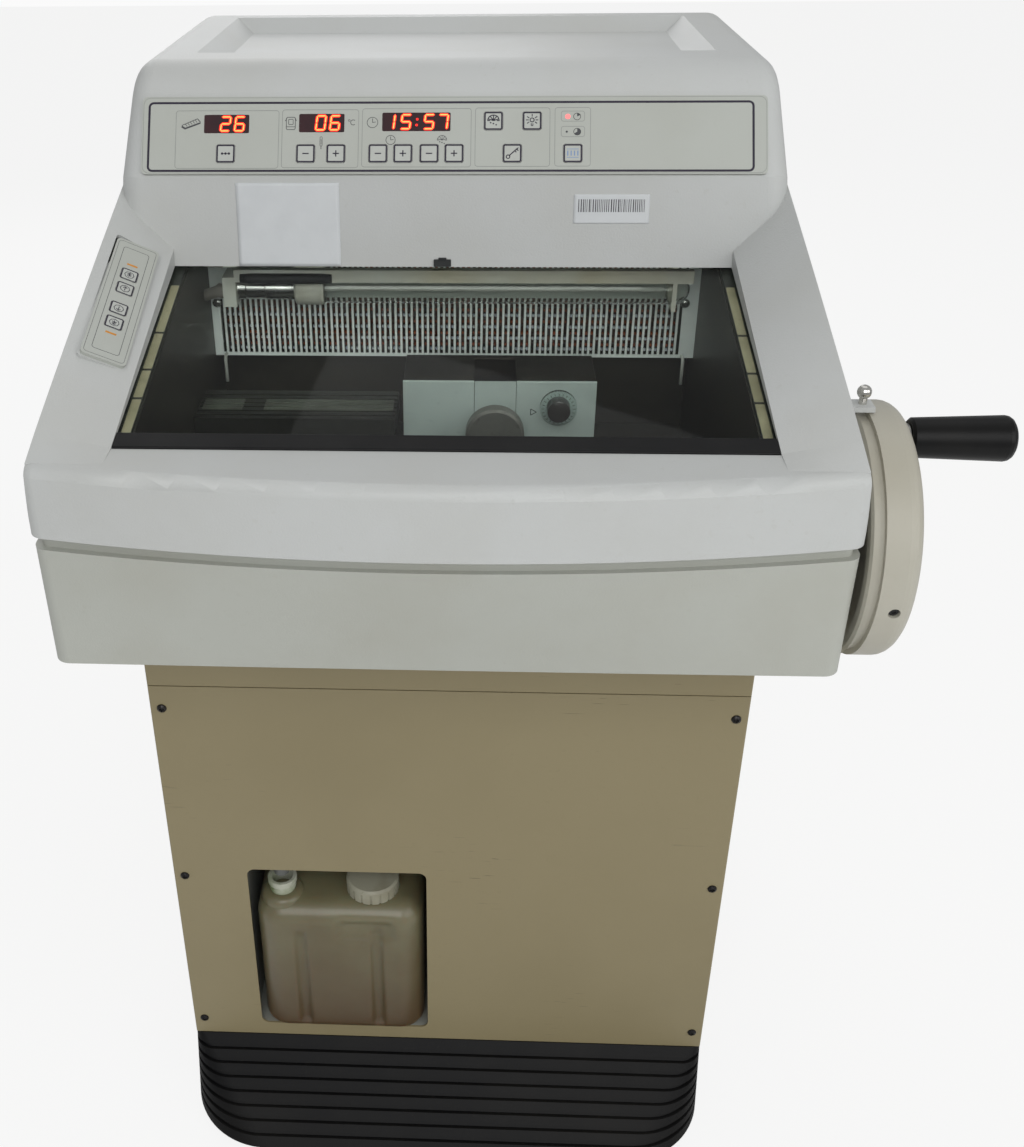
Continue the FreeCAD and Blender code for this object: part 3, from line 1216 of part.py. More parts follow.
def evaporator_grille():
    """Comb plate in front of the cold plate: upright slots, sides folded back to the wall."""
    half = TUB_HALF - SLIDE_CLEAR
    plate = box(-half, half, COMB_Y, COMB_Y + COMB_SHEET, COMB_BOTTOM_Z, COMB_TOP_Z)
    pitch = (COMB_LAST_X - COMB_FIRST_X) / (COMB_SLOTS - 1)
    slots = []
    for index in range(COMB_SLOTS):
        x = COMB_FIRST_X + index * pitch
        slots.append(box(x - COMB_SLOT_W / 2, x + COMB_SLOT_W / 2, COMB_Y - 1, COMB_Y + COMB_SHEET + 1,
                         COMB_SLOT_BOTTOM_Z, COMB_SLOT_TOP_Z))
    sides = [box(low, low + COMB_SHEET, COMB_Y + COMB_SHEET, TUB_REAR_Y, COMB_BOTTOM_Z, COMB_TOP_Z)
             for low in (-half, half - COMB_SHEET)]
    return join(plate.cut(slots), *sides)


def lamp_fitting():
    """Reflector channel over the lamp, holder at its left end and clip near its right end."""
    front = LAMP_Y - LAMP_R - REFLECTOR_REACH
    channel = box(LAMP_LEFT_X, LAMP_RIGHT_X, front, COMB_Y, REFLECTOR_Z, REFLECTOR_Z + COMB_SHEET)
    lip = box(LAMP_LEFT_X, LAMP_RIGHT_X, front, front + COMB_SHEET,
              REFLECTOR_Z - REFLECTOR_LIP, REFLECTOR_Z)
    holder = box(LAMP_LEFT_X - HOLDER_BLOCK, LAMP_LEFT_X, LAMP_Y - LAMP_R, COMB_Y,
                 LAMP_Z - LAMP_R, LAMP_Z + LAMP_R)
    clip_x = LAMP_RIGHT_X - CLIP_IN
    reach = LAMP_R + CLIP_WALL
    clip = box(clip_x, clip_x + CLIP_W, LAMP_Y - reach, COMB_Y, LAMP_Z - reach, LAMP_Z + reach)
    clip = clip.cut(rod(LAMP_R, V(-BIG, LAMP_Y, LAMP_Z), V(BIG, LAMP_Y, LAMP_Z)))
    return [join(channel, lip), holder, clip]


def lamp_tube():
    """Metal sleeve, ceramic collar and a round-ended glass tube."""
    start = V(LAMP_LEFT_X, LAMP_Y, LAMP_Z)
    collar = LAMP_SLEEVE
    glass = collar + LAMP_COLLAR_W
    end = LAMP_RIGHT_X - LAMP_LEFT_X
    sleeve = turned([(0, 0), (0, LAMP_SLEEVE_R), (collar, LAMP_SLEEVE_R), (collar, 0)],
                    start, V(1, 0, 0))
    ring = turned([(collar, 0), (collar, LAMP_COLLAR_R), (glass, LAMP_COLLAR_R), (glass, 0)],
                  start, V(1, 0, 0))
    dome = rounded_end(end, LAMP_R, LAMP_R, LAMP_DOME_STEPS)
    bulb = turned([(glass, 0), (glass, LAMP_R)] + dome, start, V(1, 0, 0))
    return [sleeve, ring, bulb]


def freeze_shelf():
    """Cold shelf on the left wall, ridged from side to side."""
    body = box(-TUB_HALF, SHELF_RIGHT_X, SHELF_FRONT_Y, SHELF_REAR_Y, SHELF_Z - SHELF_THICK, SHELF_Z)
    pitch = (SHELF_REAR_Y - SHELF_FRONT_Y) / SHELF_RIDGES
    grooves = []
    for row in range(SHELF_RIDGES - 1):
        low_y = SHELF_FRONT_Y + pitch * (row + SHELF_RIDGE_SHARE)
        high_y = SHELF_FRONT_Y + pitch * (row + 1)
        grooves.append(box(-BIG, SHELF_RIGHT_X + 1, low_y, high_y, SHELF_Z - SHELF_GROOVE, BIG))
    return body.cut(grooves)


# Microtome


def microtome_body():
    """Tower with its slot and dial bore, drive arm with the shaft seat, base and keyed slab."""
    tower = box(TOWER_LEFT_X, TOWER_RIGHT_X, TOWER_FRONT_Y, TOWER_REAR_Y, TUB_FLOOR_Z, TOWER_TOP_Z)
    slot = box(HEAD_X - SLOT_HALF, HEAD_X + SLOT_HALF, TOWER_FRONT_Y - 1, TOWER_FRONT_Y + SLOT_DEPTH,
               SLOT_FLOOR_Z, BIG)
    dial_bore = rod(DIAL_STEM_R + RUNNING_FIT, V(DIAL_X, TOWER_FRONT_Y - 1, DIAL_Z),
                    V(DIAL_X, TOWER_FRONT_Y + DIAL_STEM, DIAL_Z))
    tower = tower.makeFillet(TOWER_EDGE_R, edges_where(
        tower, lambda e: abs(e.CenterOfMass.z - TOWER_TOP_Z) < 0.1)).cut([slot, dial_bore])
    arm = box(TOWER_RIGHT_X - DRIVE_ARM_W, TOWER_RIGHT_X, KNIFE_FRONT_Y, TOWER_FRONT_Y,
              TUB_FLOOR_Z, TUB_FLOOR_Z + DRIVE_ARM_HEIGHT)
    arm = arm.cut(shaft_line(SHAFT_R + RUNNING_FIT, TOWER_RIGHT_X - SHAFT_SEAT, BIG))
    base = box(TOWER_LEFT_X, TOWER_RIGHT_X - DRIVE_ARM_W, KNIFE_FRONT_Y, TOWER_FRONT_Y,
               TUB_FLOOR_Z, KNIFE_BASE_Z)
    slab = box(HEAD_X - KNIFE_BASE_HALF, HEAD_X + KNIFE_BASE_HALF, KNIFE_FRONT_Y + KNIFE_SLAB_IN,
               HOLDER_REAR_Y + KNIFE_SLAB_BACK, KNIFE_BASE_Z, KNIFE_TOP_Z)
    keyway = box(HEAD_X - KEYWAY_HALF, HEAD_X + KEYWAY_HALF, -BIG, BIG, KNIFE_TOP_Z - KEYWAY_DEPTH, BIG)
    return [tower, arm, base, slab.cut(keyway)]


def specimen_slide():
    """Block that rides up and down in the tower's slot and carries the head's rod."""
    half = SLOT_HALF - SLIDE_CLEAR
    front = TOWER_FRONT_Y + SLIDE_BACK
    block = box(HEAD_X - half, HEAD_X + half, front, front + SLIDE_DEPTH,
                HEAD_Z - SLIDE_HEIGHT / 2, HEAD_Z + SLIDE_HEIGHT / 2)
    return block.cut(rod(HEAD_ROD_R + RUNNING_FIT, V(HEAD_X, -BIG, HEAD_Z), V(HEAD_X, BIG, HEAD_Z)))


def specimen_head():
    """Specimen disc on the rod that feeds forwards out of the slide."""
    disc_y = TOWER_FRONT_Y - HEAD_STAND_OFF - HEAD_DISC_THICK
    rear = TOWER_FRONT_Y + SLIDE_DEPTH + HEAD_ROD_TAIL - disc_y
    edge = HEAD_DISC_EDGE
    return turned([(0, 0), (0, HEAD_DISC_R - edge), (edge, HEAD_DISC_R), (HEAD_DISC_THICK, HEAD_DISC_R),
                   (HEAD_DISC_THICK, HEAD_ROD_R), (rear, HEAD_ROD_R), (rear, 0)],
                  V(HEAD_X, disc_y, HEAD_Z), V(0, 1, 0))


def thickness_dial():
    """Knob with a skirt for the scale, flutes round its grip, and a stem in the tower."""
    start = TOWER_FRONT_Y - SLIDE_CLEAR - DIAL_THICK
    body = turned([(0, 0), (0, DIAL_KNOB_R), (DIAL_KNOB_LENGTH, DIAL_KNOB_R), (DIAL_SHOULDER, DIAL_R),
                   (DIAL_THICK, DIAL_R), (DIAL_THICK, DIAL_STEM_R),
                   (DIAL_THICK + DIAL_STEM, DIAL_STEM_R), (DIAL_THICK + DIAL_STEM, 0)],
                  V(DIAL_X, start, DIAL_Z), V(0, 1, 0))
    flutes = []
    for step in range(DIAL_FLUTES):
        turn = 2 * math.pi * step / DIAL_FLUTES
        x, z = DIAL_X + DIAL_KNOB_R * math.cos(turn), DIAL_Z + DIAL_KNOB_R * math.sin(turn)
        flutes.append(rod(DIAL_FLUTE_R, V(x, start - 1, z), V(x, start + DIAL_KNOB_LENGTH, z)))
    return body.cut(flutes)


def knife_line(z):
    """y of the knife holder's leaning rear face at height z."""
    share = (z - LEAN_LOW_Z) / (HOLDER_TOP_Z - LEAN_LOW_Z)
    return HOLDER_REAR_Y - LEAN * (1 - share)


def knife_holder():
    """Wedge-fronted block with a leaning rear face, a tongue in the keyway and hinge lugs."""
    foot_z = KNIFE_TOP_Z + SLIDE_CLEAR
    outline = [(HOLDER_FRONT_Y, foot_z), (HOLDER_REAR_Y - LEAN, foot_z), (HOLDER_REAR_Y - LEAN, LEAN_LOW_Z),
               (HOLDER_REAR_Y, HOLDER_TOP_Z), (HOLDER_REAR_Y - HOLDER_TOP_DEPTH, HOLDER_TOP_Z),
               (HOLDER_FRONT_Y, HOLDER_TOP_Z - HOLDER_NOSE)]
    body = prism_x(outline, HOLDER_LEFT_X, HOLDER_RIGHT_X)
    half = KEYWAY_HALF - SLIDE_CLEAR
    tongue = box(HEAD_X - half, HEAD_X + half, HOLDER_FRONT_Y, HOLDER_REAR_Y - LEAN,
                 KNIFE_TOP_Z - KEYWAY_DEPTH + SLIDE_CLEAR, foot_z)
    lugs = [box(x, x + HINGE_LUG, HINGE_Y - HINGE_LUG_HALF, HINGE_Y + HINGE_LUG_HALF,
                HOLDER_TOP_Z, HINGE_Z + HINGE_R + HINGE_WALL)
            for x in (HOLDER_LEFT_X, HOLDER_RIGHT_X - HINGE_LUG)]
    bore = rod(HINGE_R + RUNNING_FIT, V(-BIG, HINGE_Y, HINGE_Z), V(BIG, HINGE_Y, HINGE_Z))
    return join(body, tongue, *lugs).cut(bore)


def blade():
    """Strip blade flat on the holder's leaning face, ground to an edge along its top."""
    low_z, high_z = LEAN_LOW_Z + BLADE_LOW, HOLDER_TOP_Z + BLADE_PROUD
    bevel_z = high_z - BLADE_EDGE
    outline = [(knife_line(low_z), low_z), (knife_line(high_z), high_z),
               (knife_line(high_z) + BLADE_EDGE_THICK, high_z),
               (knife_line(bevel_z) + BLADE_THICK, bevel_z), (knife_line(low_z) + BLADE_THICK, low_z)]
    return prism_x(outline, HOLDER_LEFT_X + BLADE_SIDE, HOLDER_RIGHT_X - BLADE_SIDE)


def anti_roll_plate():
    """Clear plate over the blade on a hinge pin between the holder's lugs."""
    left, right = HOLDER_LEFT_X + HINGE_LUG + SLIDE_CLEAR, HOLDER_RIGHT_X - HINGE_LUG - SLIDE_CLEAR
    pin = rod(HINGE_R, V(HOLDER_LEFT_X, HINGE_Y, HINGE_Z), V(HOLDER_RIGHT_X, HINGE_Y, HINGE_Z))
    barrel = rod(HINGE_R + GUARD_BARREL_WALL, V(left, HINGE_Y, HINGE_Z), V(right, HINGE_Y, HINGE_Z))
    low_z = HOLDER_TOP_Z + GUARD_LIFT
    plate = box(left, right, HINGE_Y, HOLDER_REAR_Y - GUARD_REAR_GAP, low_z, low_z + GUARD_THICK)
    return join(barrel, plate, pin)


# Handwheel


def rounded_end(length, radius, round_r, steps):
    """Outline points of a solid of revolution's rounded end: (along the axis, radius)."""
    turns = [math.pi / 2 * step / steps for step in range(steps + 1)]
    return [(length - round_r + round_r * math.sin(a), radius - round_r + round_r * math.cos(a))
            for a in turns]


def handwheel():
    """Heavy wheel: flat outer face, generous outer edge, recessed back and a brake groove."""
    depth = WHEEL_FACE_X - WHEEL_BACK_X
    groove = PLUNGER_X - WHEEL_BACK_X
    low, high = groove - BRAKE_GROOVE_W / 2, groove + BRAKE_GROOVE_W / 2
    points = [(0, SHAFT_R), (0, HUB_R), (WHEEL_WEB, HUB_R),
              (WHEEL_WEB, WHEEL_R - WHEEL_RIM - WHEEL_RIM_SLOPE), (0, WHEEL_R - WHEEL_RIM),
              (0, WHEEL_R - WHEEL_BACK_EDGE[1]), (WHEEL_BACK_EDGE[0], WHEEL_R),
              (low, WHEEL_R), (low, WHEEL_R - BRAKE_GROOVE_DEPTH),
              (high, WHEEL_R - BRAKE_GROOVE_DEPTH), (high, WHEEL_R)]
    points += rounded_end(depth, WHEEL_R, WHEEL_EDGE_R, WHEEL_EDGE_STEPS) + [(depth, SHAFT_R)]
    wheel = turned(points, V(WHEEL_BACK_X, WHEEL_Y, WHEEL_Z), V(1, 0, 0))
    seat = rod(AXLE_R, V(WHEEL_FACE_X - AXLE_SEAT, WHEEL_Y, WHEEL_Z + CRANK),
               V(BIG, WHEEL_Y, WHEEL_Z + CRANK))
    turn = math.radians(RIM_HOLE_TURN)
    outwards = V(0, -math.sin(turn), math.cos(turn))
    centre = V(RIM_HOLE_X, WHEEL_Y, WHEEL_Z)
    hole = rod(RIM_HOLE_R, centre + outwards * (WHEEL_R - RIM_HOLE_DEPTH),
               centre + outwards * (WHEEL_R + 1))
    return wheel.cut([seat, hole])


def drive_shaft():
    """Shaft from the drive arm through the bearing into the wheel's hub."""
    start = TOWER_RIGHT_X - SHAFT_SEAT + SHAFT_END_PLAY
    length = WHEEL_FACE_X + SHAFT_PROUD - start
    thin = SHAFT_R - SHAFT_BEVEL
    return turned([(0, 0), (0, thin), (SHAFT_BEVEL, SHAFT_R), (length - SHAFT_BEVEL, SHAFT_R),
                   (length, thin), (length, 0)], V(start, WHEEL_Y, WHEEL_Z), V(1, 0, 0))


def handle_axle():
    """Crank pin pressed into the wheel, with a collar that the grip runs against."""
    start = WHEEL_FACE_X - AXLE_SEAT
    collar = AXLE_SEAT + AXLE_COLLAR
    end = GRIP_TIP_X - GRIP_END - start
    return turned([(0, 0), (0, AXLE_R), (AXLE_SEAT, AXLE_R), (AXLE_SEAT, AXLE_COLLAR_R),
                   (collar, AXLE_COLLAR_R), (collar, AXLE_R), (end, AXLE_R), (end, 0)],
                  V(start, WHEEL_Y, WHEEL_Z + CRANK), V(1, 0, 0))


def handle_grip():
    """Tapered grip, wider at its domed tip, with a blind bore for the axle."""
    start = WHEEL_FACE_X + AXLE_COLLAR + GRIP_CLEAR
    length = GRIP_TIP_X - start
    bore = AXLE_R + RUNNING_FIT
    bore_end = length - GRIP_END + GRIP_CLEAR
    dome = rounded_end(length, GRIP_END_R, GRIP_DOME, GRIP_DOME_STEPS)
    return turned([(0, bore), (0, GRIP_START_R - GRIP_BEVEL), (GRIP_BEVEL, GRIP_START_R)] + dome
                  + [(length, 0), (bore_end, 0), (bore_end, bore)],
                  V(start, WHEEL_Y, WHEEL_Z + CRANK), V(1, 0, 0))


def lock_knob():
    """Ball knob on a sprung pin that drops into the wheel's groove."""
    low_z = WHEEL_Z + WHEEL_R + PLUNGER_WHEEL_GAP
    ball_z = LUG_Z + LUG_THICK + PLUNGER_TRAVEL
    neck = math.acos(PLUNGER_R / PLUNGER_BALL_R)
    points = [(0, 0), (0, PLUNGER_R)]
    for step in range(PLUNGER_BALL_STEPS + 1):
        turn = -neck + (neck + math.pi / 2) * step / PLUNGER_BALL_STEPS
        points.append((ball_z - low_z + PLUNGER_BALL_R * (1 + math.sin(turn)),
                       PLUNGER_BALL_R * math.cos(turn)))
    return turned(points[:-1] + [(points[-1][0], 0)], V(PLUNGER_X, PLUNGER_Y, low_z), V(0, 0, 1))


def shaft_bearing():
    """Flanged bushing through the skirt and the foam."""
    depth = BEARING_DEPTH + BEARING_FLANGE
    bore = SHAFT_R + RUNNING_FIT
    return turned([(0, bore), (0, BEARING_BODY_R), (BEARING_DEPTH, BEARING_BODY_R),
                   (BEARING_DEPTH, BEARING_FLANGE_R), (depth, BEARING_FLANGE_R - BEARING_BEVEL),
                   (depth, bore)], V(HOOD_HALF - BEARING_DEPTH, WHEEL_Y, WHEEL_Z), V(1, 0, 0))


# Refrigeration


def compressor():
    """Welded shell with a seam round its middle, on a foot plate."""
    foot_z = BASE_BOTTOM_Z
    r, h = COMPRESSOR_R, COMPRESSOR_H
    half_x, half_y = COMPRESSOR_PLATE_HALF
    plate = box(COMPRESSOR_X - half_x, COMPRESSOR_X + half_x, COMPRESSOR_Y - half_y,
                COMPRESSOR_Y + half_y, foot_z, foot_z + COMPRESSOR_PLATE)
    low, high = h / 2 - COMPRESSOR_SEAM, h / 2 + COMPRESSOR_SEAM
    shell = turned([(0, 0), (0, r * 0.7), (h * 0.12, r), (low, r), (low, r + COMPRESSOR_SEAM),
                    (high, r + COMPRESSOR_SEAM), (high, r), (h * 0.8, r), (h * 0.95, r * 0.7),
                    (h, r * 0.3), (h, 0)],
                   V(COMPRESSOR_X, COMPRESSOR_Y, foot_z + COMPRESSOR_PLATE), V(0, 0, 1))
    return [plate, shell]


def condenser():
    """Finned block on the pan with a shroud in front and the fan motor on a bracket."""
    spine_y = CONDENSER_Y + CONDENSER_DEPTH / 2
    front_y = CONDENSER_Y - CONDENSER_DEPTH / 2
    root_y = spine_y - CONDENSER_FIN_THICK
    pitch = (CONDENSER_RIGHT_X - CONDENSER_LEFT_X - CONDENSER_FIN_THICK) / CONDENSER_FINS
    comb = []
    for index in range(CONDENSER_FINS + 1):
        x = CONDENSER_LEFT_X + index * pitch
        comb += [(x, root_y), (x, front_y), (x + CONDENSER_FIN_THICK, front_y),
                 (x + CONDENSER_FIN_THICK, root_y)]
    comb = [(CONDENSER_LEFT_X, spine_y)] + comb[1:-1] + [(CONDENSER_RIGHT_X, spine_y)]
    block = prism_z(comb, BASE_BOTTOM_Z, CONDENSER_TOP_Z)
    x, z = fan_centre()
    shroud = box(CONDENSER_LEFT_X, CONDENSER_RIGHT_X, front_y - SHEET, front_y,
                 BASE_BOTTOM_Z, CONDENSER_TOP_Z)
    shroud = shroud.cut(rod(FAN_R + SHROUD_CLEAR, V(x, 0, z), V(x, BIG, z)))
    motor = rod(MOTOR_R, V(x, MOTOR_Y, z), V(x, MOTOR_Y + MOTOR_DEPTH, z))
    motor = motor.cut(rod(FAN_SHAFT_R + RUNNING_FIT, V(x, MOTOR_Y + MOTOR_WALL, z), V(x, BIG, z)))
    half = (CONDENSER_RIGHT_X - CONDENSER_LEFT_X) / 2 - MOTOR_BAR_EDGE
    low_z, high_z = z - MOTOR_BAR_HALF, z + MOTOR_BAR_HALF
    bar = box(x - half, x + half, MOTOR_Y - SHEET, MOTOR_Y, low_z, high_z)
    legs = [box(start, start + SHEET, MOTOR_Y, front_y - SHEET, low_z, high_z)
            for start in (x - half, x + half - SHEET)]
    return [block, shroud, motor, bar] + legs


def fan_centre():
    return ((CONDENSER_LEFT_X + CONDENSER_RIGHT_X) / 2, (BASE_BOTTOM_Z + CONDENSER_TOP_Z) / 2)


def fan_rotor():
    """Hub with pitched vanes on a spindle that runs in the motor."""
    x, z = fan_centre()
    low_y = MOTOR_Y + MOTOR_DEPTH + FAN_GAP
    hub = rod(FAN_HUB_R, V(x, low_y, z), V(x, low_y + FAN_DEPTH, z))
    spindle = rod(FAN_SHAFT_R, V(x, MOTOR_Y + FAN_SHAFT_END, z), V(x, low_y + 1, z))
    half = FAN_VANE_THICK / 2
    vanes = []
    for index in range(FAN_BLADES):
        vane = box(FAN_HUB_R - FAN_HUB_LAP, FAN_R, -half, half, -FAN_VANE / 2, FAN_VANE / 2)
        vane.rotate(V(0, 0, 0), V(1, 0, 0), FAN_VANE_PITCH)
        vane.rotate(V(0, 0, 0), V(0, 1, 0), 360 * index / FAN_BLADES)
        vanes.append(vane.translated(V(x, low_y + FAN_DEPTH / 2, z)))
    return join(hub, spindle, *vanes)


# Feet and wheels


def front_foot(side):
    """Levelling foot: pad and stem in the pan's boss."""
    top = BASE_BOTTOM_Z - PAN_THICK - 2 * SLIDE_CLEAR
    return turned([(0, 0), (0, FOOT_R), (FOOT_PAD_RIM, FOOT_R), (FOOT_PAD, FOOT_PAD_TOP_R),
                   (FOOT_PAD, FOOT_STEM_R), (top, FOOT_STEM_R), (top, 0)],
                  V(side * FOOT_X, FOOT_Y, 0), V(0, 0, 1))


def rear_wheel(side):
    """Fixed castor wheel with bevelled edges on an axle through the fork."""
    reach = WHEEL_WIDTH / 2 + FORK_GAP + FORK_THICK
    low, high = FORK_GAP + FORK_THICK, FORK_GAP + FORK_THICK + WHEEL_WIDTH
    bevel = WHEEL_BEVEL
    return turned([(0, 0), (0, WHEEL_AXLE_R), (low, WHEEL_AXLE_R), (low, WHEEL_RADIUS - bevel),
                   (low + bevel, WHEEL_RADIUS), (high - bevel, WHEEL_RADIUS),
                   (high, WHEEL_RADIUS - bevel), (high, WHEEL_AXLE_R), (2 * reach, WHEEL_AXLE_R),
                   (2 * reach, 0)], V(side * CASTOR_X - reach, CASTOR_Y, WHEEL_RADIUS), V(1, 0, 0))


# Keypads


def console_slab(x_mid, half_w, low, high, deep, thick, corner):
    rise = V(0, PANEL_TOP_Y - FACE_TOP_Y, PANEL_TOP_Z - FACE_TOP_Z).normalize()
    across = V(1, 0, 0)
    return slab_on(V(x_mid, FACE_TOP_Y, FACE_TOP_Z), rise, across, across.cross(rise), half_w, low, high,
                   deep, thick, corner)


def console_key(x, s, size, deep, thick):
    half = size / 2
    return console_slab(x, half, s - half, s + half, deep, thick, KEY_CORNER_R)


def side_key(s, size, deep, thick):
    origin, along, across, out = side_pad_frame()
    half = size / 2
    return slab_on(origin, along, across, out, half, s - half, s + half, deep, thick, KEY_CORNER_R)


def key_layers(base):
    """Height of a key's underside and top over the plane its keypad lies on."""
    return base + KEY_TRAVEL + KEY_FLOOR, base + OVERLAY_THICK + KEY_PROUD


save("upper_housing", upper_housing())
save("front_skirt", front_skirt())
save("base_frame", *base_frame())
save("front_panel", front_panel())
save("side_panel_left", side_panel(-1))
save("side_panel_right", side_panel(1))
save("rear_panel", *rear_panel())
save("panel_screws", *panel_screws())
save("plinth", plinth())
save("canister_compartment", canister_compartment())
save("canister", canister())
save("canister_cap", canister_cap())
save("drain_pipe", drain_pipe())
save("chamber_liner", chamber_liner())
save("insulation", *insulation())
save("window_guides", *window_guides())
save("window_glass", window_glass())
save("window_rail", window_rail())
save("evaporator", *evaporator())
save("evaporator_grille", evaporator_grille())
save("lamp_fitting", *lamp_fitting())
save("lamp_tube", *lamp_tube())
save("freeze_shelf", freeze_shelf())
save("microtome_body", *microtome_body())
save("specimen_slide", specimen_slide())
save("specimen_head", specimen_head())
save("thickness_dial", thickness_dial())
save("knife_holder", knife_holder())
save("blade", blade())
save("anti_roll_plate", anti_roll_plate())
save("handwheel", handwheel())
save("drive_shaft", drive_shaft())
save("handle_axle", handle_axle())
save("handle_grip", handle_grip())
save("lock_knob", lock_knob())
save("shaft_bearing", shaft_bearing())
save("compressor", *compressor())
save("condenser", *condenser())
save("fan_rotor", fan_rotor())
for name, side in (("left", -1), ("right", 1)):
    save("front_foot_" + name, front_foot(side))
    save("rear_wheel_" + name, rear_wheel(side))

overlay = console_slab(0, OVERLAY_HALF, OVERLAY_EDGE, OVERLAY_EDGE + OVERLAY_HEIGHT, 0,
                       OVERLAY_THICK, OVERLAY_R)
low, high = key_layers(0)
for name, x, s in CONSOLE_KEYS:
    overlay = overlay.cut(console_key(x, s, KEY_SIZE + 2 * KEY_GAP, -1, OVERLAY_THICK + 1))
    save(name, console_key(x, s, KEY_SIZE, low, high))
save("console_overlay", overlay)

side_top = SIDE_PAD_LIFT + OVERLAY_THICK
side_overlay = side_pad_slab(SIDE_PAD_WIDTH / 2, SIDE_PAD_LENGTH / 2, SIDE_PAD_LIFT, side_top, OVERLAY_R)
low, high = key_layers(SIDE_PAD_LIFT)
for name, s in SIDE_KEYS:
    side_overlay = side_overlay.cut(side_key(s, SIDE_KEY_SIZE + 2 * KEY_GAP, SIDE_PAD_LIFT - 1,
                                             side_top + 1))
    save(name, side_key(s, SIDE_KEY_SIZE, low, high))
save("side_overlay", side_overlay)
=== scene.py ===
import math

import bmesh
import bpy
import numpy as np
from mathutils import Matrix, Vector


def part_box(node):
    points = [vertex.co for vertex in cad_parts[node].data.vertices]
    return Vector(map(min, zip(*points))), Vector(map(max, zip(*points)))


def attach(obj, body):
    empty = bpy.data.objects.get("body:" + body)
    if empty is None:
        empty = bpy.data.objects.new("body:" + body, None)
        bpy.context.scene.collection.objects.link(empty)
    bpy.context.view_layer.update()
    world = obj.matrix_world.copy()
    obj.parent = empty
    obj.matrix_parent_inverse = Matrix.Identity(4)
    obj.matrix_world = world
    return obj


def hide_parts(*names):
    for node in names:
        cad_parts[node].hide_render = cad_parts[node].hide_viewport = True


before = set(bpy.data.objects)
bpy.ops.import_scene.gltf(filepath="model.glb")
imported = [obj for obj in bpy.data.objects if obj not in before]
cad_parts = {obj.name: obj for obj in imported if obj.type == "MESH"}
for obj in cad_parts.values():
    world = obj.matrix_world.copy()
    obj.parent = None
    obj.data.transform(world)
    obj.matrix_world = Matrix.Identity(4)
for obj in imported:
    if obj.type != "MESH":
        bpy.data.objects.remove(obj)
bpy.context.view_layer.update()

# Camera and studio
# The photograph was taken standing, from about 1.1 m in front of the armrest and 1.24 m up,
# looking down at 30 degrees. The cabinet's own axes have x from its middle plane.
skirt_low, skirt_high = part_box("front_skirt")
CABINET_DEPTH_BACK = 0.385
ORIGIN = np.array([(skirt_low.x + skirt_high.x) / 2, skirt_high.y - CABINET_DEPTH_BACK, 0.0])
CAMERA_PLACE = (0.02465, -1.11136, 1.2380)
CAMERA_PITCH, CAMERA_YAW, CAMERA_ROLL = math.radians(30.0), math.radians(-3.09), math.radians(-0.79)
FOCAL_PIXELS, IMAGE_WIDTH, IMAGE_HEIGHT = 1275.77, 1024, 1147
PRINCIPAL_POINT = (415.65, 546.74)

ahead = Vector((math.sin(CAMERA_YAW) * math.cos(CAMERA_PITCH),
                math.cos(CAMERA_YAW) * math.cos(CAMERA_PITCH), -math.sin(CAMERA_PITCH)))
level = Vector((math.cos(CAMERA_YAW), -math.sin(CAMERA_YAW), 0.0))
upright = level.cross(ahead)
rolled = level * math.cos(CAMERA_ROLL) + upright * math.sin(CAMERA_ROLL)
upward = upright * math.cos(CAMERA_ROLL) - level * math.sin(CAMERA_ROLL)
camera_data = bpy.data.cameras.new("camera")
camera_data.sensor_width = 36.0
camera_data.sensor_fit = "AUTO"
camera_data.lens = FOCAL_PIXELS / IMAGE_HEIGHT * camera_data.sensor_width
camera_data.shift_x = (IMAGE_WIDTH / 2 - PRINCIPAL_POINT[0]) / IMAGE_HEIGHT
camera_data.shift_y = (PRINCIPAL_POINT[1] - IMAGE_HEIGHT / 2) / IMAGE_HEIGHT
camera_data.clip_start, camera_data.clip_end = 0.05, 60
camera = bpy.data.objects.new("camera", camera_data)
turn = Matrix((rolled, upward, -ahead)).transposed().to_4x4()
camera.matrix_world = Matrix.Translation(Vector(CAMERA_PLACE) + Vector(ORIGIN)) @ turn
bpy.context.collection.objects.link(camera)
bpy.context.scene.camera = camera
bpy.context.scene.view_settings.view_transform = "Standard"


def area_lamp(name, place, target, size, watts):
    """Square soft lamp at place, facing target."""
    lamp = bpy.data.lights.new(name, "AREA")
    lamp.shape, lamp.size, lamp.energy = "SQUARE", size, watts
    holder = bpy.data.objects.new(name, lamp)
    holder.location = place
    holder.rotation_euler = (Vector(target) - Vector(place)).to_track_quat("-Z", "Y").to_euler()
    bpy.context.collection.objects.link(holder)


area_lamp("key_lamp", (0.0, -2.9, 2.5), (0, 0, 0.75), 2.0, 43)
area_lamp("fill_lamp", (2.4, -2.0, 1.9), (0, 0, 0.6), 2.2, 26)
area_lamp("top_lamp", (0.2, 0.5, 3.4), (0, 0, 0.8), 2.4, 9)
area_lamp("back_lamp", (-0.8, 3.0, 2.2), (0, 0, 0.7), 2.2, 30)


def set_sockets(node, **constants):
    """Puts constants on a node's own sockets, where an underscore stands for a space."""
    for socket, value in constants.items():
        node.inputs[socket.replace("_", " ")].default_value = value
    return node


def add_node(nodes, kind, **constants):
    """New shader node with its constants."""
    return set_sockets(nodes.new("ShaderNode" + kind), **constants)


def wire(links, *runs):
    """Joins nodes: each run is a node, its output, the next node and its input."""
    for start, output, end, entry in runs:
        links.new(start.outputs[output], end.inputs[entry])


def new_material(name, **constants):
    """Material with its nodes, its links and its Principled shader with these constants."""
    material = bpy.data.materials.new(name)
    material.use_nodes = True
    nodes = material.node_tree.nodes
    return material, nodes, material.node_tree.links, set_sockets(nodes["Principled BSDF"], **constants)


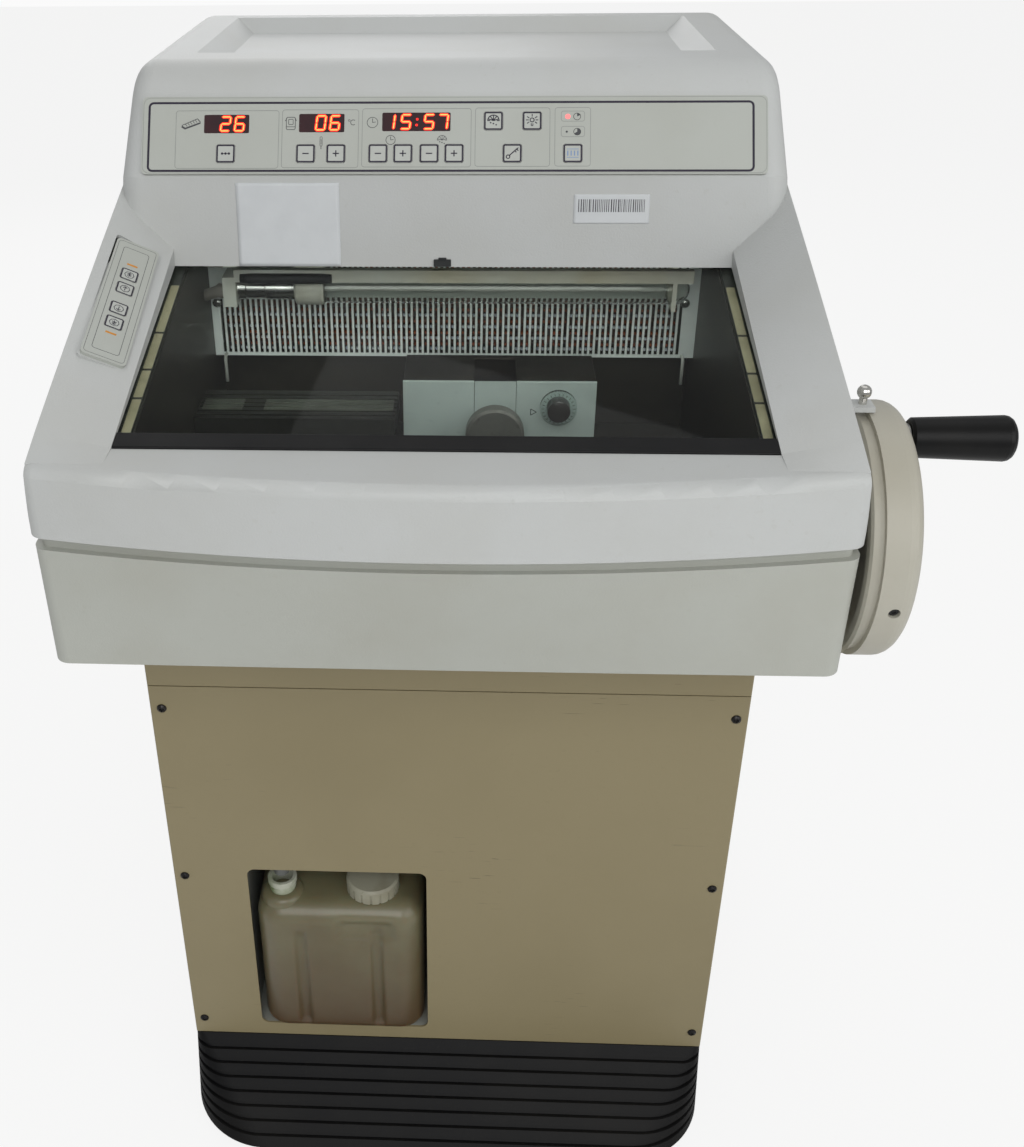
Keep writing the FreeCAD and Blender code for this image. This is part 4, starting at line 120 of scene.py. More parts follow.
def mix_by_ray(nodes, links, ray, plain, other, end, share=1.0):
    """Leads one shader to the end node, and for one kind of ray a share of another shader."""
    rays, mix = add_node(nodes, "LightPath"), add_node(nodes, "MixShader")
    amount = rays.outputs[ray]
    if share < 1:
        part = add_node(nodes, "Math")
        part.operation = "MULTIPLY"
        part.inputs[1].default_value = share
        links.new(amount, part.inputs[0])
        amount = part.outputs[0]
    links.new(amount, mix.inputs[0])
    wire(links, (plain, 0, mix, 1), (other, 0, mix, 2), (mix, 0, end, 0))


SEEN_WHITE, ROOM_COLOUR, ROOM_LIGHT = (0.96, 0.96, 0.96, 1), (0.97, 0.98, 1.0, 1), 0.42
world = bpy.data.worlds.new("studio")
bpy.context.scene.world = world
world.use_nodes = True
world_nodes = world.node_tree.nodes
world_nodes.clear()
seen_room = add_node(world_nodes, "Background", Color=SEEN_WHITE)
lit_room = add_node(world_nodes, "Background", Color=ROOM_COLOUR, Strength=ROOM_LIGHT)
mix_by_ray(world_nodes, world.node_tree.links, "Is Camera Ray", lit_room, seen_room,
           add_node(world_nodes, "OutputWorld"))

FLOOR_HALF, FLOOR_WHITE, FLOOR_SEEN, SEEN_SHARE = 9.0, (0.86, 0.86, 0.855, 1), (0.96, 0.96, 0.958, 1), 0.9
floor_mesh = bpy.data.meshes.new("floor")
floor_mesh.from_pydata([(x * FLOOR_HALF, y * FLOOR_HALF, 0) for x, y in ((-1, -1), (1, -1), (1, 1), (-1, 1))],
                       [], [(0, 1, 2, 3)])
floor = bpy.data.objects.new("floor", floor_mesh)
bpy.context.collection.objects.link(floor)
floor_paint, floor_nodes, floor_links, floor_shader = new_material(
    "pale_floor", Base_Color=FLOOR_WHITE, Roughness=0.85, Specular_IOR_Level=0.1)
mix_by_ray(floor_nodes, floor_links, "Is Camera Ray", floor_shader,
           add_node(floor_nodes, "Emission", Color=FLOOR_SEEN), floor_nodes["Material Output"], SEEN_SHARE)
floor_mesh.materials.append(floor_paint)

# Upper housing
# One large moulding of textured off-white plastic, with the armrest, the two wings beside the
# window, the console and the tray. The skirt below it is a second moulding of the same plastic.


def paint(red, green, blue):
    """Shader colour of a screen colour: above 0.04 each channel is ((c + 0.055) / 1.055) ^ 2.4."""
    screen = np.array((red, green, blue)) / 255
    return (*np.where(screen > 0.04045, ((screen + 0.055) / 1.055) ** 2.4, screen / 12.92).tolist(), 1)


def socket_in(group, name, kind, value):
    """Named input of a node group with its default."""
    made = group.interface.new_socket(name=name, in_out="INPUT", socket_type=kind)
    made.default_value = value


def moulded_grain():
    """Group: fine spark texture of moulded plastic, as a height for a Bump node."""
    group = bpy.data.node_groups.new("moulded_grain", "ShaderNodeTree")
    socket_in(group, "Scale", "NodeSocketFloat", 900.0)
    group.interface.new_socket(name="Height", in_out="OUTPUT", socket_type="NodeSocketFloat")
    nodes, links = group.nodes, group.links
    start, end = nodes.new("NodeGroupInput"), nodes.new("NodeGroupOutput")
    place, noise = add_node(nodes, "TexCoord"), add_node(nodes, "TexNoise", Detail=3.0, Roughness=0.6)
    wire(links, (place, "Object", noise, "Vector"), (start, "Scale", noise, "Scale"),
         (noise, "Fac", end, "Height"))
    return group


def soiling():
    """Group: clean colour, with a second colour in soft clouds and in fine specks."""
    group = bpy.data.node_groups.new("soiling", "ShaderNodeTree")
    socket_in(group, "Clean", "NodeSocketColor", (0.8, 0.8, 0.8, 1))
    socket_in(group, "Soiled", "NodeSocketColor", (0.6, 0.58, 0.5, 1))
    socket_in(group, "Scale", "NodeSocketFloat", 9.0)
    socket_in(group, "Clouds", "NodeSocketFloat", 0.3)
    socket_in(group, "Specks", "NodeSocketFloat", 0.2)
    socket_in(group, "Stretch", "NodeSocketVector", (1, 1, 1))
    group.interface.new_socket(name="Color", in_out="OUTPUT", socket_type="NodeSocketColor")
    nodes, links = group.nodes, group.links
    start, end = nodes.new("NodeGroupInput"), nodes.new("NodeGroupOutput")
    place, stretched = add_node(nodes, "TexCoord"), add_node(nodes, "VectorMath")
    stretched.operation = "MULTIPLY"
    wire(links, (place, "Object", stretched, 0), (start, "Stretch", stretched, 1))
    clouds = add_node(nodes, "TexNoise", Detail=5.0)
    specks = add_node(nodes, "TexNoise", Scale=160.0, Detail=2.0)
    wire(links, (stretched, 0, clouds, "Vector"), (start, "Scale", clouds, "Scale"),
         (place, "Object", specks, "Vector"))
    total, mix = add_node(nodes, "Math"), add_node(nodes, "Mix")
    total.operation, mix.data_type = "MAXIMUM", "RGBA"
    for k, noise, low, high, amount in ((0, clouds, 0.42, 0.72, "Clouds"),
                                       (1, specks, 0.66, 0.72, "Specks")):
        ramp, scaled = add_node(nodes, "MapRange", From_Min=low, From_Max=high), add_node(nodes, "Math")
        scaled.operation = "MULTIPLY"
        wire(links, (noise, "Fac", ramp, "Value"), (ramp, 0, scaled, 0), (start, amount, scaled, 1),
             (scaled, 0, total, k))
    wire(links, (total, 0, mix, "Factor"), (start, "Clean", mix, "A"), (start, "Soiled", mix, "B"),
         (mix, "Result", end, "Color"))
    return group


GRAIN, SOILING, GRAIN_HEIGHT = moulded_grain(), soiling(), 0.0004


def finish_of(name, colour, roughness, soil=None, clouds=0.0, specks=0.0, soil_scale=9.0,
              stretch=(1, 1, 1), grain=0.0, grain_scale=900.0, **constants):
    """Principled material of a screen colour: plain or soiled, with moulded grain if asked."""
    clean = paint(*colour)
    material, nodes, links, shader = new_material(name, Base_Color=clean, Roughness=roughness, **constants)
    if soil:
        dirt = add_node(nodes, "Group")
        dirt.node_tree = SOILING
        set_sockets(dirt, Clean=clean, Soiled=paint(*soil), Scale=soil_scale, Clouds=clouds, Specks=specks,
                    Stretch=stretch)
        links.new(dirt.outputs["Color"], shader.inputs["Base Color"])
    if grain:
        texture = add_node(nodes, "Group")
        texture.node_tree = GRAIN
        set_sockets(texture, Scale=grain_scale)
        bump = add_node(nodes, "Bump", Strength=grain, Distance=GRAIN_HEIGHT)
        wire(links, (texture, "Height", bump, "Height"), (bump, "Normal", shader, "Normal"))
    return material


def dress(node, material):
    """Gives a CAD node its finish."""
    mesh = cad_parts[node].data
    mesh.materials.clear()
    mesh.materials.append(material)


housing_plastic = finish_of("housing_plastic", (188, 190, 188), 0.5, soil=(170, 169, 160),
                            clouds=0.25, specks=0.15, grain=0.5, grain_scale=620.0)
skirt_plastic = finish_of("skirt_plastic", (173, 175, 167), 0.5, soil=(158, 155, 141),
                          clouds=0.28, specks=0.12, grain=0.4, grain_scale=620.0)
dress("upper_housing", housing_plastic)
dress("front_skirt", skirt_plastic)

# Console film
# A printed polyester film is stuck in a shallow recess of the sloping console. Its frame, its
# group boxes and its symbols are printed lines, a few hundredths of a millimetre thick.


def plane_of(origin, along, outward):
    """Plane in cabinet millimetres: origin, unit line along, unit line across and unit normal."""
    along = np.array(along, float) / np.linalg.norm(along)
    outward = np.array(outward, float) - np.dot(outward, along) * along
    outward /= np.linalg.norm(outward)
    return np.array(origin, float), along, np.cross(outward, along), outward


def box_middle(node):
    """Middle of a CAD node's box, in cabinet millimetres."""
    low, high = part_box(node)
    return ((np.array(low) + np.array(high)) / 2 - ORIGIN) * 1000


def spot_on(node, plane):
    """Where the middle of a CAD node's box lies along and across a plane."""
    middle = box_middle(node) - plane[0]
    return float(middle @ plane[1]), float(middle @ plane[2])


def add_piece(name, points, faces, material, body, smooth=False):
    """Closed mesh of cabinet millimetre points, with its faces turned outwards, riding on a body."""
    mesh = bpy.data.meshes.new(name)
    mesh.from_pydata((ORIGIN + np.asarray(points, float) / 1000).tolist(), [], faces)
    solid = bmesh.new()
    solid.from_mesh(mesh)
    bmesh.ops.recalc_face_normals(solid, faces=solid.faces)
    solid.to_mesh(mesh)
    solid.free()
    mesh.polygons.foreach_set("use_smooth", np.full(len(mesh.polygons), smooth))
    mesh.materials.append(material)
    piece = bpy.data.objects.new(name, mesh)
    bpy.context.collection.objects.link(piece)
    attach(piece, body)
    return piece


def rounded_outline(x0, s0, x1, s1, radius, steps=4):
    """Rounded rectangle: a quarter circle of the radius round each corner's centre, joined up."""
    turns = np.radians(np.linspace(0, 90, steps + 1))
    corners = ((x1 - radius, s1 - radius, 0), (x0 + radius, s1 - radius, 1),
               (x0 + radius, s0 + radius, 2), (x1 - radius, s0 + radius, 3))
    return np.vstack([np.column_stack((x + radius * np.cos(turns + i * np.pi / 2),
                                       s + radius * np.sin(turns + i * np.pi / 2))) for x, s, i in corners])


def box_line(x0, s0, x1, s1, radius, width):
    """Printed line round a rounded rectangle."""
    inner = rounded_outline(x0 + width, s0 + width, x1 - width, s1 - width, max(radius - width, 0.1))
    return rounded_outline(x0, s0, x1, s1, radius), inner, True


def ring_line(x, s, radius, width, start=0, end=360, steps=24):
    """Printed circle or arc: points at radius and at radius less width, from start to end."""
    turns = np.radians(np.linspace(start, end, steps + 1))[:steps if end - start == 360 else steps + 1]
    ray = np.column_stack((np.cos(turns), np.sin(turns)))
    return (x, s) + radius * ray, (x, s) + (radius - width) * ray, end - start == 360


def bar(x0, s0, x1, s1, width):
    """Printed straight line from one point to the other."""
    ends = np.array(((x0, s0), (x1, s1)), float)
    run = ends[1] - ends[0]
    side = np.array((-run[1], run[0])) / np.linalg.norm(run) * width / 2
    return ends + side, ends - side, False


def patch(outline):
    """Printed filled shape with this outline."""
    return np.array(outline, float), None, True


def dot(x, s, radius, steps=14):
    """Printed filled circle."""
    return patch(ring_line(x, s, radius, 0, steps=steps)[0])


def printed(name, shapes, plane, low, high, material, body="cabinet"):
    """Thin slabs on a plane, from height low to height high. A shape is two lines of points with
    quads between them, closed on itself or with square ends, or one filled outline."""
    origin, along, across, outward = plane
    points, faces, count = [], [], 0
    for left, right, closed in shapes:
        n = len(left)
        for line in (left,) if right is None else (left, right):
            flat = origin + np.outer(line[:, 0], along) + np.outer(line[:, 1], across)
            points += [flat + low * outward, flat + high * outward]
        i = np.arange(n if closed else n - 1)
        j = (i + 1) % n
        walls = [(i, j, n + j, n + i)]
        if right is None:
            faces += [(count + n + np.arange(n)).tolist(), (count + np.arange(n)[::-1]).tolist()]
        else:
            walls += [(n + i, n + j, 3 * n + j, 3 * n + i), (3 * n + i, 3 * n + j, 2 * n + j, 2 * n + i),
                      (2 * n + i, 2 * n + j, j, i)]
            if not closed:
                faces += [[count + k, count + n + k, count + 3 * n + k, count + 2 * n + k]
                          for k in (0, n - 1)]
        faces += [quad for wall in walls for quad in (count + np.column_stack(wall)).tolist()]
        count += n * (2 if right is None else 4)
    return add_piece(name, np.vstack(points), faces, material, body)


CONSOLE = plane_of((0, -23, 969.5), (1, 0, 0), (0, -0.82771, 0.56116))
FILM_TOP, PRINT, PRINT_SINK = 3.0, 0.06, 0.03
overlay_film = finish_of("overlay_film", (175, 178, 171), 0.42, soil=(163, 164, 154),
                         clouds=0.3, specks=0.1, soil_scale=12.0, grain=0.12, grain_scale=1600.0)
dress("console_overlay", overlay_film)
dress("side_overlay", overlay_film)
navy_ink = finish_of("navy_ink", (26, 17, 40), 0.5, soil=(40, 30, 54), clouds=0.4)
grey_ink = finish_of("grey_ink", (133, 136, 132), 0.45, soil=(150, 152, 147), clouds=0.5)
symbol_ink = finish_of("symbol_ink", (56, 56, 60), 0.45, soil=(80, 82, 84), clouds=0.5)

GREY_LINE = 0.45
GROUP_BOXES = ((-235.1, 6.3, -146.5, 57.0), (-144.0, 6.8, -78.5, 57.6), (-75.8, 7.4, 16.7, 58.4),
               (19.8, 7.8, 82.9, 58.8), (86.7, 8.0, 116.9, 59.0))
LAMP_BOXES = ((91.9, 46.7, 111.9, 55.9), (92.0, 33.4, 112.0, 42.7))


def film_print(name, shapes, ink, rise=PRINT):
    """Print on the console film, with its foot a little under the surface of the film."""
    printed(name, shapes, CONSOLE, FILM_TOP - PRINT_SINK, FILM_TOP + rise, ink)


film_print("console_navy_frame", [box_line(-259, 3.4, 253, 64.5, 4.5, 1.9)], navy_ink)
film_print("console_grey_lines", [box_line(-263.2, 2.3, 263.2, 68.2, 6.0, 0.35)]
           + [box_line(*box, 2.5, GREY_LINE) for box in GROUP_BOXES]
           + [box_line(*box, 2.2, GREY_LINE) for box in LAMP_BOXES], grey_ink)


def clock_face(x, s, radius, width=0.5):
    """Clock symbol: a circle with two hands."""
    return [ring_line(x, s, radius, width), bar(x, s, x, s + 0.72 * radius, width),
            bar(x, s, x + 0.6 * radius, s + 0.1 * radius, width)]


def frost_sign(x, s, radius, width=0.45):
    """Defrost symbol: a half round with spokes over three drops."""
    spoke = 0.92 * radius
    rays = [bar(x, s, x + spoke * math.cos(t), s + spoke * math.sin(t), width)
            for t in np.radians((18, 54, 90, 126, 162))]
    drops = [dot(x + dx * radius, s - dy * radius, 0.13 * radius, 8)
             for dx, dy in ((-0.45, 0.35), (0.0, 0.5), (0.45, 0.7))]
    return ([ring_line(x, s, radius, width, 0, 180), bar(x - radius, s, x - 0.55 * radius, s, width),
             bar(x + 0.55 * radius, s, x + radius, s, width)] + rays + drops)


tray_sign = [patch([(-230.3, 42.3), (-227.2, 40.4), (-213.9, 45.4), (-213.9, 46.9), (-226.9, 42.0),
                    (-229.8, 44.0)]),
             bar(-229.8, 44.0, -216.6, 49.8, 0.6), bar(-216.6, 49.8, -213.9, 46.9, 0.6)]
tray_sign += [bar(-227.4 + 2.1 * k, 42.4 + 0.83 * k, -229.2 + 2.1 * k, 44.4 + 0.92 * k, 0.5)
              for k in range(1, 7)]
cabinet_sign = [box_line(-140.6, 39.9, -132.4, 51.2, 1.6, 0.55),
                box_line(-138.6, 44.4, -134.3, 49.4, 0.6, 0.5),
                bar(-140.2, 42.6, -132.8, 42.6, 0.5), bar(-139.9, 50.1, -141.3, 47.6, 0.5),
                bar(-133.0, 50.1, -131.6, 47.6, 0.5)]
degree_sign = [ring_line(-86.8, 48.0, 1.0, 0.4, steps=14), ring_line(-83.3, 46.3, 2.5, 0.55, 50, 310, 16)]
probe_sign = [box_line(-111.5, 25.6, -109.2, 34.1, 1.1, 0.4), bar(-110.35, 25.6, -110.35, 23.2, 0.6),
              bar(-110.35, 27.4, -110.35, 31.8, 0.4)]
timer_signs = [ring_line(105.4, 51.0, 3.2, 0.5), ring_line(105.6, 37.9, 3.2, 0.5), dot(96.8, 37.9, 0.95),
               patch([(105.4, 51.0), (105.4, 53.9), (106.6, 53.6), (107.5, 53.0), (108.0, 52.2)]),
               patch(np.vstack(((105.6, 37.9), ring_line(105.6, 37.9, 3.0, 0, -150, 90, 14)[0])))]
film_print("console_symbols", tray_sign + cabinet_sign + degree_sign + probe_sign
           + clock_face(-67.0, 46.2, 4.8) + clock_face(-51.4, 31.0, 4.2) + frost_sign(-7.9, 30.8, 4.2)
           + timer_signs, symbol_ink)

# Console displays
# Three red light-emitting digit displays lie under dark windows in the film. The digits are
# slanted, seven bars each, with a bright core and a red glow, and a small red lamp is lit.

display_window = finish_of("display_window", (40, 8, 16), 0.16, soil=(58, 12, 20), clouds=0.6,
                           soil_scale=60.0, Coat_Weight=0.6)
digit_glow = finish_of("digit_glow", (225, 30, 16), 0.4, soil=(190, 18, 10), clouds=0.3,
                       soil_scale=300.0, Emission_Color=paint(255, 26, 10), Emission_Strength=1.0)
digit_core = finish_of("digit_core", (255, 196, 92), 0.4, soil=(255, 150, 60), clouds=0.4,
                       soil_scale=300.0, Emission_Color=paint(255, 148, 84), Emission_Strength=1.1)
lamp_glow = finish_of("lamp_glow", (250, 150, 150), 0.4, soil=(240, 120, 120), clouds=0.4,
                      soil_scale=300.0, Emission_Color=paint(255, 66, 62), Emission_Strength=1.0)
WINDOWS = ((-210.7, 37.1, -172.1, 53.2), (-129.4, 37.8, -90.8, 53.8), (-58.7, 38.6, -0.9, 54.7))
WINDOW_RISE = 0.1
film_print("display_windows", [patch(rounded_outline(*window, 1.2)) for window in WINDOWS], display_window,
           WINDOW_RISE)
DIGIT_WIDTH, DIGIT_HEIGHT, DIGIT_LEAN, DIGIT_GAP = 7.4, 12.2, 0.11, 0.7
GLOW_WIDTH, CORE_WIDTH, GLOW_RISE, CORE_RISE = 2.7, 1.0, (0.08, 0.13), (0.12, 0.16)
SEGMENTS = {"0": "abcdef", "1": "bc", "2": "abdeg", "5": "acdfg", "6": "acdefg", "7": "abc"}


def digit_bars(figure, x, s, width):
    """Bars of one slanted digit: each bar is a six-sided lozenge between two of its corners."""
    top, middle, right, gap = DIGIT_HEIGHT, DIGIT_HEIGHT / 2, DIGIT_WIDTH, DIGIT_GAP
    runs = {"a": ((gap, top), (right - gap, top)), "b": ((right, top - gap), (right, middle + gap)),
            "c": ((right, middle - gap), (right, gap)), "d": ((gap, 0), (right - gap, 0)),
            "e": ((0, middle - gap), (0, gap)), "f": ((0, top - gap), (0, middle + gap)),
            "g": ((gap, middle), (right - gap, middle))}
    bars = []
    for letter in SEGMENTS[figure]:
        start, end = np.array(runs[letter])
        step = (end - start) / np.linalg.norm(end - start) * width / 2
        side = np.array((-step[1], step[0]))
        outline = np.array((start - step, start + side, end + side, end + step, end - side, start - side))
        outline[:, 0] += DIGIT_LEAN * outline[:, 1]
        bars.append(patch(outline + (x, s)))
    return bars


figures = [("2", -196.6, 39.1), ("6", -184.6, 39.1), ("0", -115.2, 39.8), ("6", -103.2, 39.8),
           ("1", -56.6, 40.6), ("5", -43.0, 40.6), ("5", -23.4, 40.6), ("7", -11.6, 40.6)]
colon = ((-29.6, 43.9), (-29.1, 48.9))
printed("digit_glow", [shape for figure in figures for shape in digit_bars(*figure, GLOW_WIDTH)]
        + [dot(x, s, 1.1) for x, s in colon], CONSOLE, FILM_TOP + GLOW_RISE[0], FILM_TOP + GLOW_RISE[1],
        digit_glow)
printed("digit_core", [shape for figure in figures for shape in digit_bars(*figure, CORE_WIDTH)],
        CONSOLE, FILM_TOP + CORE_RISE[0], FILM_TOP + CORE_RISE[1], digit_core)
film_print("signal_lamp", [dot(97.6, 51.0, 2.2)], lamp_glow, WINDOW_RISE)

# Console keys
# Embossed squares of the film itself, over small push buttons. Each has a dark rounded outline
# and its symbol, and moves by less than half a millimetre when it is pressed.

key_film = finish_of("key_film", (180, 183, 177), 0.4, soil=(168, 169, 161), clouds=0.4,
                     soil_scale=40.0, grain=0.12, grain_scale=1600.0)
blue_ink = finish_of("blue_ink", (112, 140, 182), 0.4, soil=(140, 160, 190), clouds=0.4)
KEY_TOP, KEY_OUTLINE = 3.25, box_line(-7.8, -7.8, 7.8, 7.8, 2.0, 1.35)
minus = [bar(-2.7, 0, 2.7, 0, 1.0)]
plus = minus + [bar(0, -2.7, 0, 2.7, 1.0)]
lamp_rays = [bar(2.9 * math.cos(t), 2.9 * math.sin(t) + 0.7, 5.2 * math.cos(t), 5.2 * math.sin(t) + 0.7, 0.8)
             for t in np.radians((-35, 0, 35, 90, 145, 180, 215))]
key_symbols = {
    "rapid": [dot(-2.9, 0, 1.05), dot(0, 0, 1.05), dot(2.9, 0, 1.05), bar(-3.8, 0, 3.8, 0, 0.5)],
    "chamber_down": minus, "chamber_up": plus, "clock_hours": minus, "clock_minutes": plus,
    "defrost_earlier": minus, "defrost_later": plus, "defrost": frost_sign(0, 0.2, 5.2, 0.85),
    "light": [ring_line(0, 0.7, 2.1, 0.8), bar(-0.7, -2.2, -0.7, -4.2, 0.7),
              bar(0.7, -2.2, 0.7, -4.2, 0.7), bar(-0.7, -4.2, 0.7, -4.2, 0.7)] + lamp_rays,
    "lock": [ring_line(-3.5, -3.0, 1.9, 0.85), bar(-2.3, -1.8, 4.4, 4.2, 0.95),
             bar(2.1, 2.2, 3.5, 0.8, 0.85), bar(3.6, 3.6, 5.2, 2.2, 0.85), bar(4.4, 4.2, 5.2, 4.8, 0.85)]}
for key in ("rapid", "chamber_down", "chamber_up", "clock_hours", "clock_minutes", "defrost_earlier",
            "defrost_later", "defrost", "light", "lock", "disinfect"):
    dress("key_" + key, key_film)
    x, s = spot_on("key_" + key, CONSOLE)
    key_plane = (CONSOLE[0] + x * CONSOLE[1] + s * CONSOLE[2], *CONSOLE[1:])
    printed("key_print_" + key, [KEY_OUTLINE] + key_symbols.get(key, []), key_plane, KEY_TOP - PRINT_SINK,
            KEY_TOP + PRINT, navy_ink, "button_" + key)
printed("key_mark_disinfect", [bar(x, -2.2, x, 2.2, 1.0) for x in (-4.2, -1.4, 1.4, 4.2)]
        + [bar(-5, 3.6, 5, 3.6, 0.5), bar(-5, -3.6, 5, -3.6, 0.5)],
        key_plane, KEY_TOP - PRINT_SINK, KEY_TOP + PRINT, blue_ink, "button_disinfect")

# Side keypad
# A second, small film on a raised pad on the left wing carries the four feed keys, one pair for
# each direction. Thin lines frame them, and an orange dash marks each end.

SIDE_PAD = plane_of((-265.5, -130.0, 894.53), (0.8948, 0.1370, -0.4249), (0.4465, -0.2774, 0.8507))
SIDE_TOP, SIDE_KEY_TOP = 5.0, 5.25
orange_ink = finish_of("orange_ink", (204, 134, 18), 0.4, soil=(184, 120, 20), clouds=0.4)
printed("side_pad_lines", [box_line(-16.2, -72.6, 16.2, 72.6, 3.0, 0.3),
                           box_line(-11.0, -66.0, 11.0, 66.0, 2.5, 0.4)],
        SIDE_PAD, SIDE_TOP - PRINT_SINK, SIDE_TOP + PRINT, symbol_ink)
printed("side_pad_dashes", [bar(-4.4, 45.2, 4.4, 45.2, 2.0), bar(-4.4, -43.4, 4.4, -43.4, 2.0)],
        SIDE_PAD, SIDE_TOP - PRINT_SINK, SIDE_TOP + PRINT, orange_ink)
for key, heading, arrows in (("feed_fast_up", 1, 2), ("feed_up", 1, 1), ("feed_down", -1, 1),
                             ("feed_fast_down", -1, 2)):
    dress("key_" + key, key_film)
    x, s = spot_on("key_" + key, SIDE_PAD)
    symbol = [ring_line(x, s, 4.2, 0.6, steps=8)]
    for k in range(arrows):
        tip = s + heading * (2.6 - 2.0 * k)
        symbol += [bar(x + side, tip - heading * 1.9, x, tip, 0.7) for side in (-1.7, 1.7)]
    symbol.append(bar(x, s - heading * 2.4, x, s + heading * 2.2, 0.7))
    printed("key_print_" + key, [box_line(x - 6.9, s - 6.9, x + 6.9, s + 6.9, 2.0, 1.15)] + symbol,
            SIDE_PAD, SIDE_KEY_TOP - PRINT_SINK, SIDE_KEY_TOP + PRINT, navy_ink, "button_" + key)

# Paper note and small label
# A blank sheet of paper is stuck on the face below the console, with one edge slightly lifted.
# A small white label with plain bars sits further right, and a small black clip at the middle.

FACE = plane_of((0, -33, 895), (1, 0, 0), (0, -74.5, 10.0))
note_paper = finish_of("note_paper", (205, 208, 209), 0.7, soil=(192, 195, 197), clouds=0.5,
                       soil_scale=30.0, grain=0.2, grain_scale=300.0)
bar_ink = finish_of("bar_ink", (58, 54, 60), 0.5, soil=(80, 76, 82), clouds=0.4)


def lifted_sheet(name, x0, s0, x1, s1, lift, curl, thick, material):
    """Stuck paper on the face: its height grows as lift times (distance from the stuck top edge) ^ 3,
    more towards the right corner, and the lower half curls by a slow wave."""
    n, glue = 25, 0.12
    across, down = np.meshgrid(np.linspace(0, 1, n), np.linspace(0, 1, n), indexing="ij")
    height = glue + lift * down ** 3 * (0.35 + 0.65 * across ** 2) + curl * down * np.sin(3.1 * across) ** 2
    origin, along, up, outward = FACE
    flat = (origin + np.multiply.outer(x0 + (x1 - x0) * across, along)
            + np.multiply.outer(s1 + (s0 - s1) * down, up))
    front = (flat + np.multiply.outer(height + thick, outward)).reshape(-1, 3)
    back = (flat + np.multiply.outer(height, outward)).reshape(-1, 3)
    grid = np.arange(n * n).reshape(n, n)
    quads = np.column_stack([corner.ravel() for corner in (grid[:-1, :-1], grid[1:, :-1], grid[1:, 1:],
                                                           grid[:-1, 1:])])
    rim = np.concatenate((grid[0, :-1], grid[:-1, -1], grid[-1, :0:-1], grid[:0:-1, 0]))
    edge = np.column_stack((rim, np.roll(rim, -1), np.roll(rim, -1) + n * n, rim + n * n))
    faces = quads.tolist() + (quads[:, ::-1] + n * n).tolist() + edge.tolist()
    return add_piece(name, np.vstack((front, back)), faces, material, "cabinet", True)


lifted_sheet("paper_note", -184, 0.5, -95, 70.5, 0.9, 0.4, 0.15, note_paper)
lifted_sheet("small_label", 104, 37, 168, 61, 0.1, 0.0, 0.1, note_paper)
BARS, BARS_LEFT, BARS_RUN, BARS_FOOT, BARS_TOP, BAR_GAP = 34, 107.5, 57, 46.5, 57.0, 0.6
bar_widths = np.random.default_rng(7).uniform(0.5, 1.5, BARS)
bar_places = BARS_LEFT + np.cumsum(bar_widths + BAR_GAP) * BARS_RUN / np.sum(bar_widths + BAR_GAP) - 1
printed("label_bars", [bar(x, BARS_FOOT, x, BARS_TOP, w * 0.62) for x, w in zip(bar_places, bar_widths)],
        FACE, 0.24, 0.36, bar_ink)
clip_black = finish_of("clip_black", (38, 40, 40), 0.35, soil=(60, 62, 60), clouds=0.4,
                       Metallic=0.4)
printed("window_clip", [patch(rounded_outline(-14.5, 0.3, 0.5, 6.5, 0.8)),
                        patch(rounded_outline(-10.5, 5.5, -3.5, 8.0, 0.6))], FACE, -0.2, 1.6, clip_black)

# Window
# A sheet of tempered glass slides back under the console in two sealing rails. A black strip along
# its front edge is its grip, and pale foam seals with small joints lie along both sides.

TILT = math.radians(13.06)
PANE = plane_of((0, -283, 837), (1, 0, 0), (0, -math.sin(TILT), math.cos(TILT)))


def clear_material(name, tint, roughness, refraction):
    """Glass that lets plain light through: a Principled glass, mixed with a Transparent shader for
    shadow rays, so that the lamps light what lies behind it."""
    tint = paint(*tint)
    material, nodes, links, shader = new_material(name, Base_Color=tint, Roughness=roughness,
                                                  IOR=refraction, Transmission_Weight=1.0)
    mix_by_ray(nodes, links, "Is Shadow Ray", shader, add_node(nodes, "BsdfTransparent", Color=tint),
               nodes["Material Output"])
    return material


window_pane = clear_material("window_pane", (228, 232, 229), 0.01, 1.16)
dress("window_glass", window_pane)
rail_black = finish_of("rail_black", (6, 6, 7), 0.5, soil=(26, 26, 25), clouds=0.5,
                       soil_scale=16.0, grain=0.05, grain_scale=400.0, Specular_IOR_Level=0.22)
dress("window_rail", rail_black)
guide_grey = finish_of("guide_grey", (42, 44, 40), 0.5, soil=(66, 66, 58), clouds=0.5,
                       soil_scale=20.0, grain=0.3, grain_scale=500.0)
dress("window_guides", guide_grey)
seal_foam = finish_of("seal_foam", (172, 164, 134), 0.75, soil=(128, 120, 92), clouds=0.7,
                      specks=0.4, soil_scale=30.0, grain=0.4, grain_scale=700.0)
joint_dark = finish_of("joint_dark", (44, 40, 34), 0.6, soil=(70, 62, 50), clouds=0.5)
SEAL_IN, SEAL_OUT, LEDGE, SEAL_SINK = 233.4, 240.6, -6.3, 0.3
seal_runs, seal_gaps = ((14, 68), (71, 106), (109, 158), (161, 232)), (69.5, 107.5, 159.5)
printed("seal_strips", [patch(rounded_outline(x0, s0, x1, s1, 0.8))
                        for x0, x1 in ((-SEAL_OUT, -SEAL_IN), (SEAL_IN, SEAL_OUT)) for s0, s1 in seal_runs],
        PANE, LEDGE - SEAL_SINK, LEDGE + 0.22, seal_foam)
printed("seal_joints", [bar(side * SEAL_IN, s, side * SEAL_OUT, s + 0.3, 0.9) for side in (-1, 1)
                        for s in seal_gaps],
        PANE, LEDGE - SEAL_SINK, LEDGE + 0.25, joint_dark)

